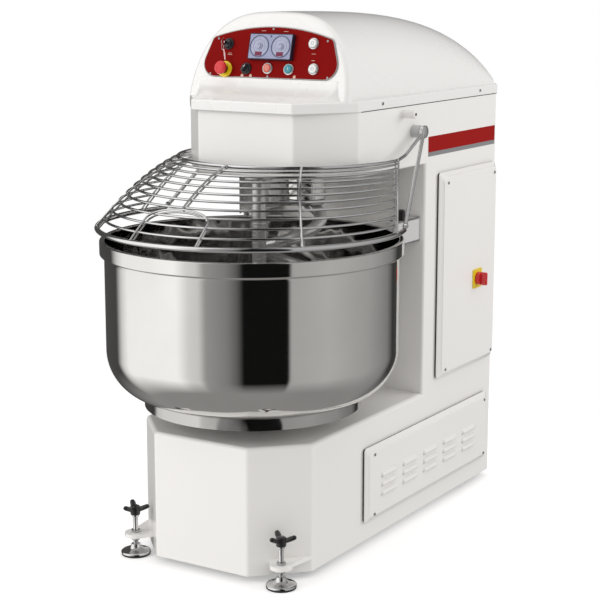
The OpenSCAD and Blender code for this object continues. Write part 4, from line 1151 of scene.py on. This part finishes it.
# ---------- studio ----------
def floor():
    """White disc that thins out to nothing well away from the machine."""
    data = bpy.data.meshes.new("floor")
    verts, faces = lathe([(0.0, 0.0), (1.2, 0.0), (2.2, 0.0)], 96)
    data.from_pydata(verts, [], faces)
    obj = link("floor", data)
    material = bpy.data.materials.new("floor_white")
    material.use_nodes = True
    tree = material.node_tree
    shader = tree.nodes["Principled BSDF"]
    for socket, value in (("Base Color", (0.93, 0.93, 0.93, 1)), ("Roughness", 0.6), ("Specular IOR Level", 0.1),
                          ("Emission Color", (1, 1, 1, 1)), ("Emission Strength", 0.25)):
        shader.inputs[socket].default_value = value
    coordinates = tree.nodes.new("ShaderNodeTexCoord")
    length = tree.nodes.new("ShaderNodeVectorMath")
    length.operation = "LENGTH"
    tree.links.new(coordinates.outputs["Object"], length.inputs[0])
    fade = map_range(tree, length.outputs["Value"], (0.95, 2.1), (1.0, 0.0))
    fade.interpolation_type = "SMOOTHSTEP"
    tree.links.new(fade.outputs["Result"], shader.inputs["Alpha"])
    data.materials.append(material)
    obj.visible_glossy = False
    obj.visible_diffuse = False


# bearings of the light and dark cards round the machine, in degrees from the camera's side, and their brightness
CARDS = [(-180, 0.06), (-130, 0.05), (-121, 0.55), (-112, 0.8), (-60, 0.86), (-50, 0.6), (-42, 0.55), (-36, 0.27),
         (-20, 0.19), (-12, 0.1), (-7, 0.004), (27, 0.004), (29, 0.34), (60, 0.38), (100, 0.3), (128, 0.18),
         (140, 0.03), (165, 0.06)]


def background(tree, color, strength):
    node = tree.nodes.new("ShaderNodeBackground")
    node.inputs["Color"].default_value = color
    node.inputs["Strength"].default_value = strength
    return node


def cards(tree):
    """What the steel mirrors: cards all round, and a dim floor below the horizon."""
    coordinates = tree.nodes.new("ShaderNodeTexCoord").outputs["Generated"]
    turn = tree.nodes.new("ShaderNodeMapping")
    turn.inputs["Rotation"].default_value = (0, 0, math.radians(56.3))
    radial = tree.nodes.new("ShaderNodeTexGradient")
    radial.gradient_type = "RADIAL"
    ramp = tree.nodes.new("ShaderNodeValToRGB")
    tree.links.new(coordinates, turn.inputs["Vector"])
    tree.links.new(turn.outputs["Vector"], radial.inputs["Vector"])
    tree.links.new(radial.outputs["Fac"], ramp.inputs["Fac"])
    elements = ramp.color_ramp.elements
    while len(elements) > 1:
        elements.remove(elements[-1])
    for i, (bearing, level) in enumerate(CARDS):
        place = (bearing + 180) / 360
        element = elements[0] if i == 0 else elements.new(place)
        element.position = place
        element.color = (level, level * 0.99, level * 0.97, 1)
    split = tree.nodes.new("ShaderNodeSeparateXYZ")
    tree.links.new(coordinates, split.inputs["Vector"])
    down = map_range(tree, split.outputs["Z"], (-0.38, -0.72), (0.0, 1.0))
    ground = tree.nodes.new("ShaderNodeMix")
    ground.data_type = "RGBA"
    ground.inputs["B"].default_value = (0.22, 0.215, 0.21, 1)
    tree.links.new(down.outputs["Result"], ground.inputs["Factor"])
    tree.links.new(ramp.outputs["Color"], ground.inputs["A"])
    node = background(tree, (1, 1, 1, 1), 1.32)
    tree.links.new(ground.outputs["Result"], node.inputs["Color"])
    return node


def surroundings():
    """Soft white light; bright surfaces mirror the cards, and the camera sees plain white."""
    world = bpy.data.worlds.new("studio")
    bpy.context.scene.world = world
    world.use_nodes = True
    tree = world.node_tree
    tree.nodes.clear()
    out = tree.nodes.new("ShaderNodeOutputWorld")
    soft = background(tree, (1.0, 0.99, 0.975, 1), 0.8)
    plain = background(tree, (1.0, 1.0, 1.0, 1), 1.0)
    path = tree.nodes.new("ShaderNodeLightPath")
    shown = soft
    for ray, other in (("Is Glossy Ray", cards(tree)), ("Is Camera Ray", plain)):
        mix = tree.nodes.new("ShaderNodeMixShader")
        tree.links.new(path.outputs[ray], mix.inputs["Fac"])
        tree.links.new(shown.outputs[0], mix.inputs[1])
        tree.links.new(other.outputs[0], mix.inputs[2])
        shown = mix
    tree.links.new(shown.outputs[0], out.inputs["Surface"])


def lamps():
    for name, place, size, power in (("key", (-3.2, -4.8, 2.6), 3.0, 128), ("fill", (4.0, 3.0, 2.6), 3.0, 80),
                                     ("lift", (3.4, -4.4, 3.6), 1.6, 18), ("top", (0.0, 0.6, 5.0), 4.0, 22)):
        light = bpy.data.lights.new(name, "AREA")
        light.shape = "SQUARE"
        light.size = size
        light.energy = power
        lamp = link(name, light)
        lamp.location = place
        lamp.rotation_euler = (Vector((0, 0, 0.8)) - Vector(place)).to_track_quat("-Z", "Y").to_euler()
        lamp.visible_glossy = False


def view():
    camera = bpy.data.cameras.new("camera")
    camera.lens = 96.55
    camera.sensor_width = 36
    camera.clip_end = 60
    eye = link("camera", camera)
    eye.location = (2.6918, -4.3332, 1.7691)
    eye.rotation_euler = (math.radians(78.6), 0, math.radians(32.0))
    bpy.context.scene.camera = eye
    bpy.context.scene.view_settings.view_transform = "Standard"


for make in (floor, surroundings, lamps, view, carried_over, casing, hood, side_covers, louvres, stripes, screws,
             control_panel, bezels, push_buttons, emergency_stop, selectors, timers, panel_marks, isolator, bowl,
             spiral, breaker_bar, guard, bosses, rollers, feet):
    make()
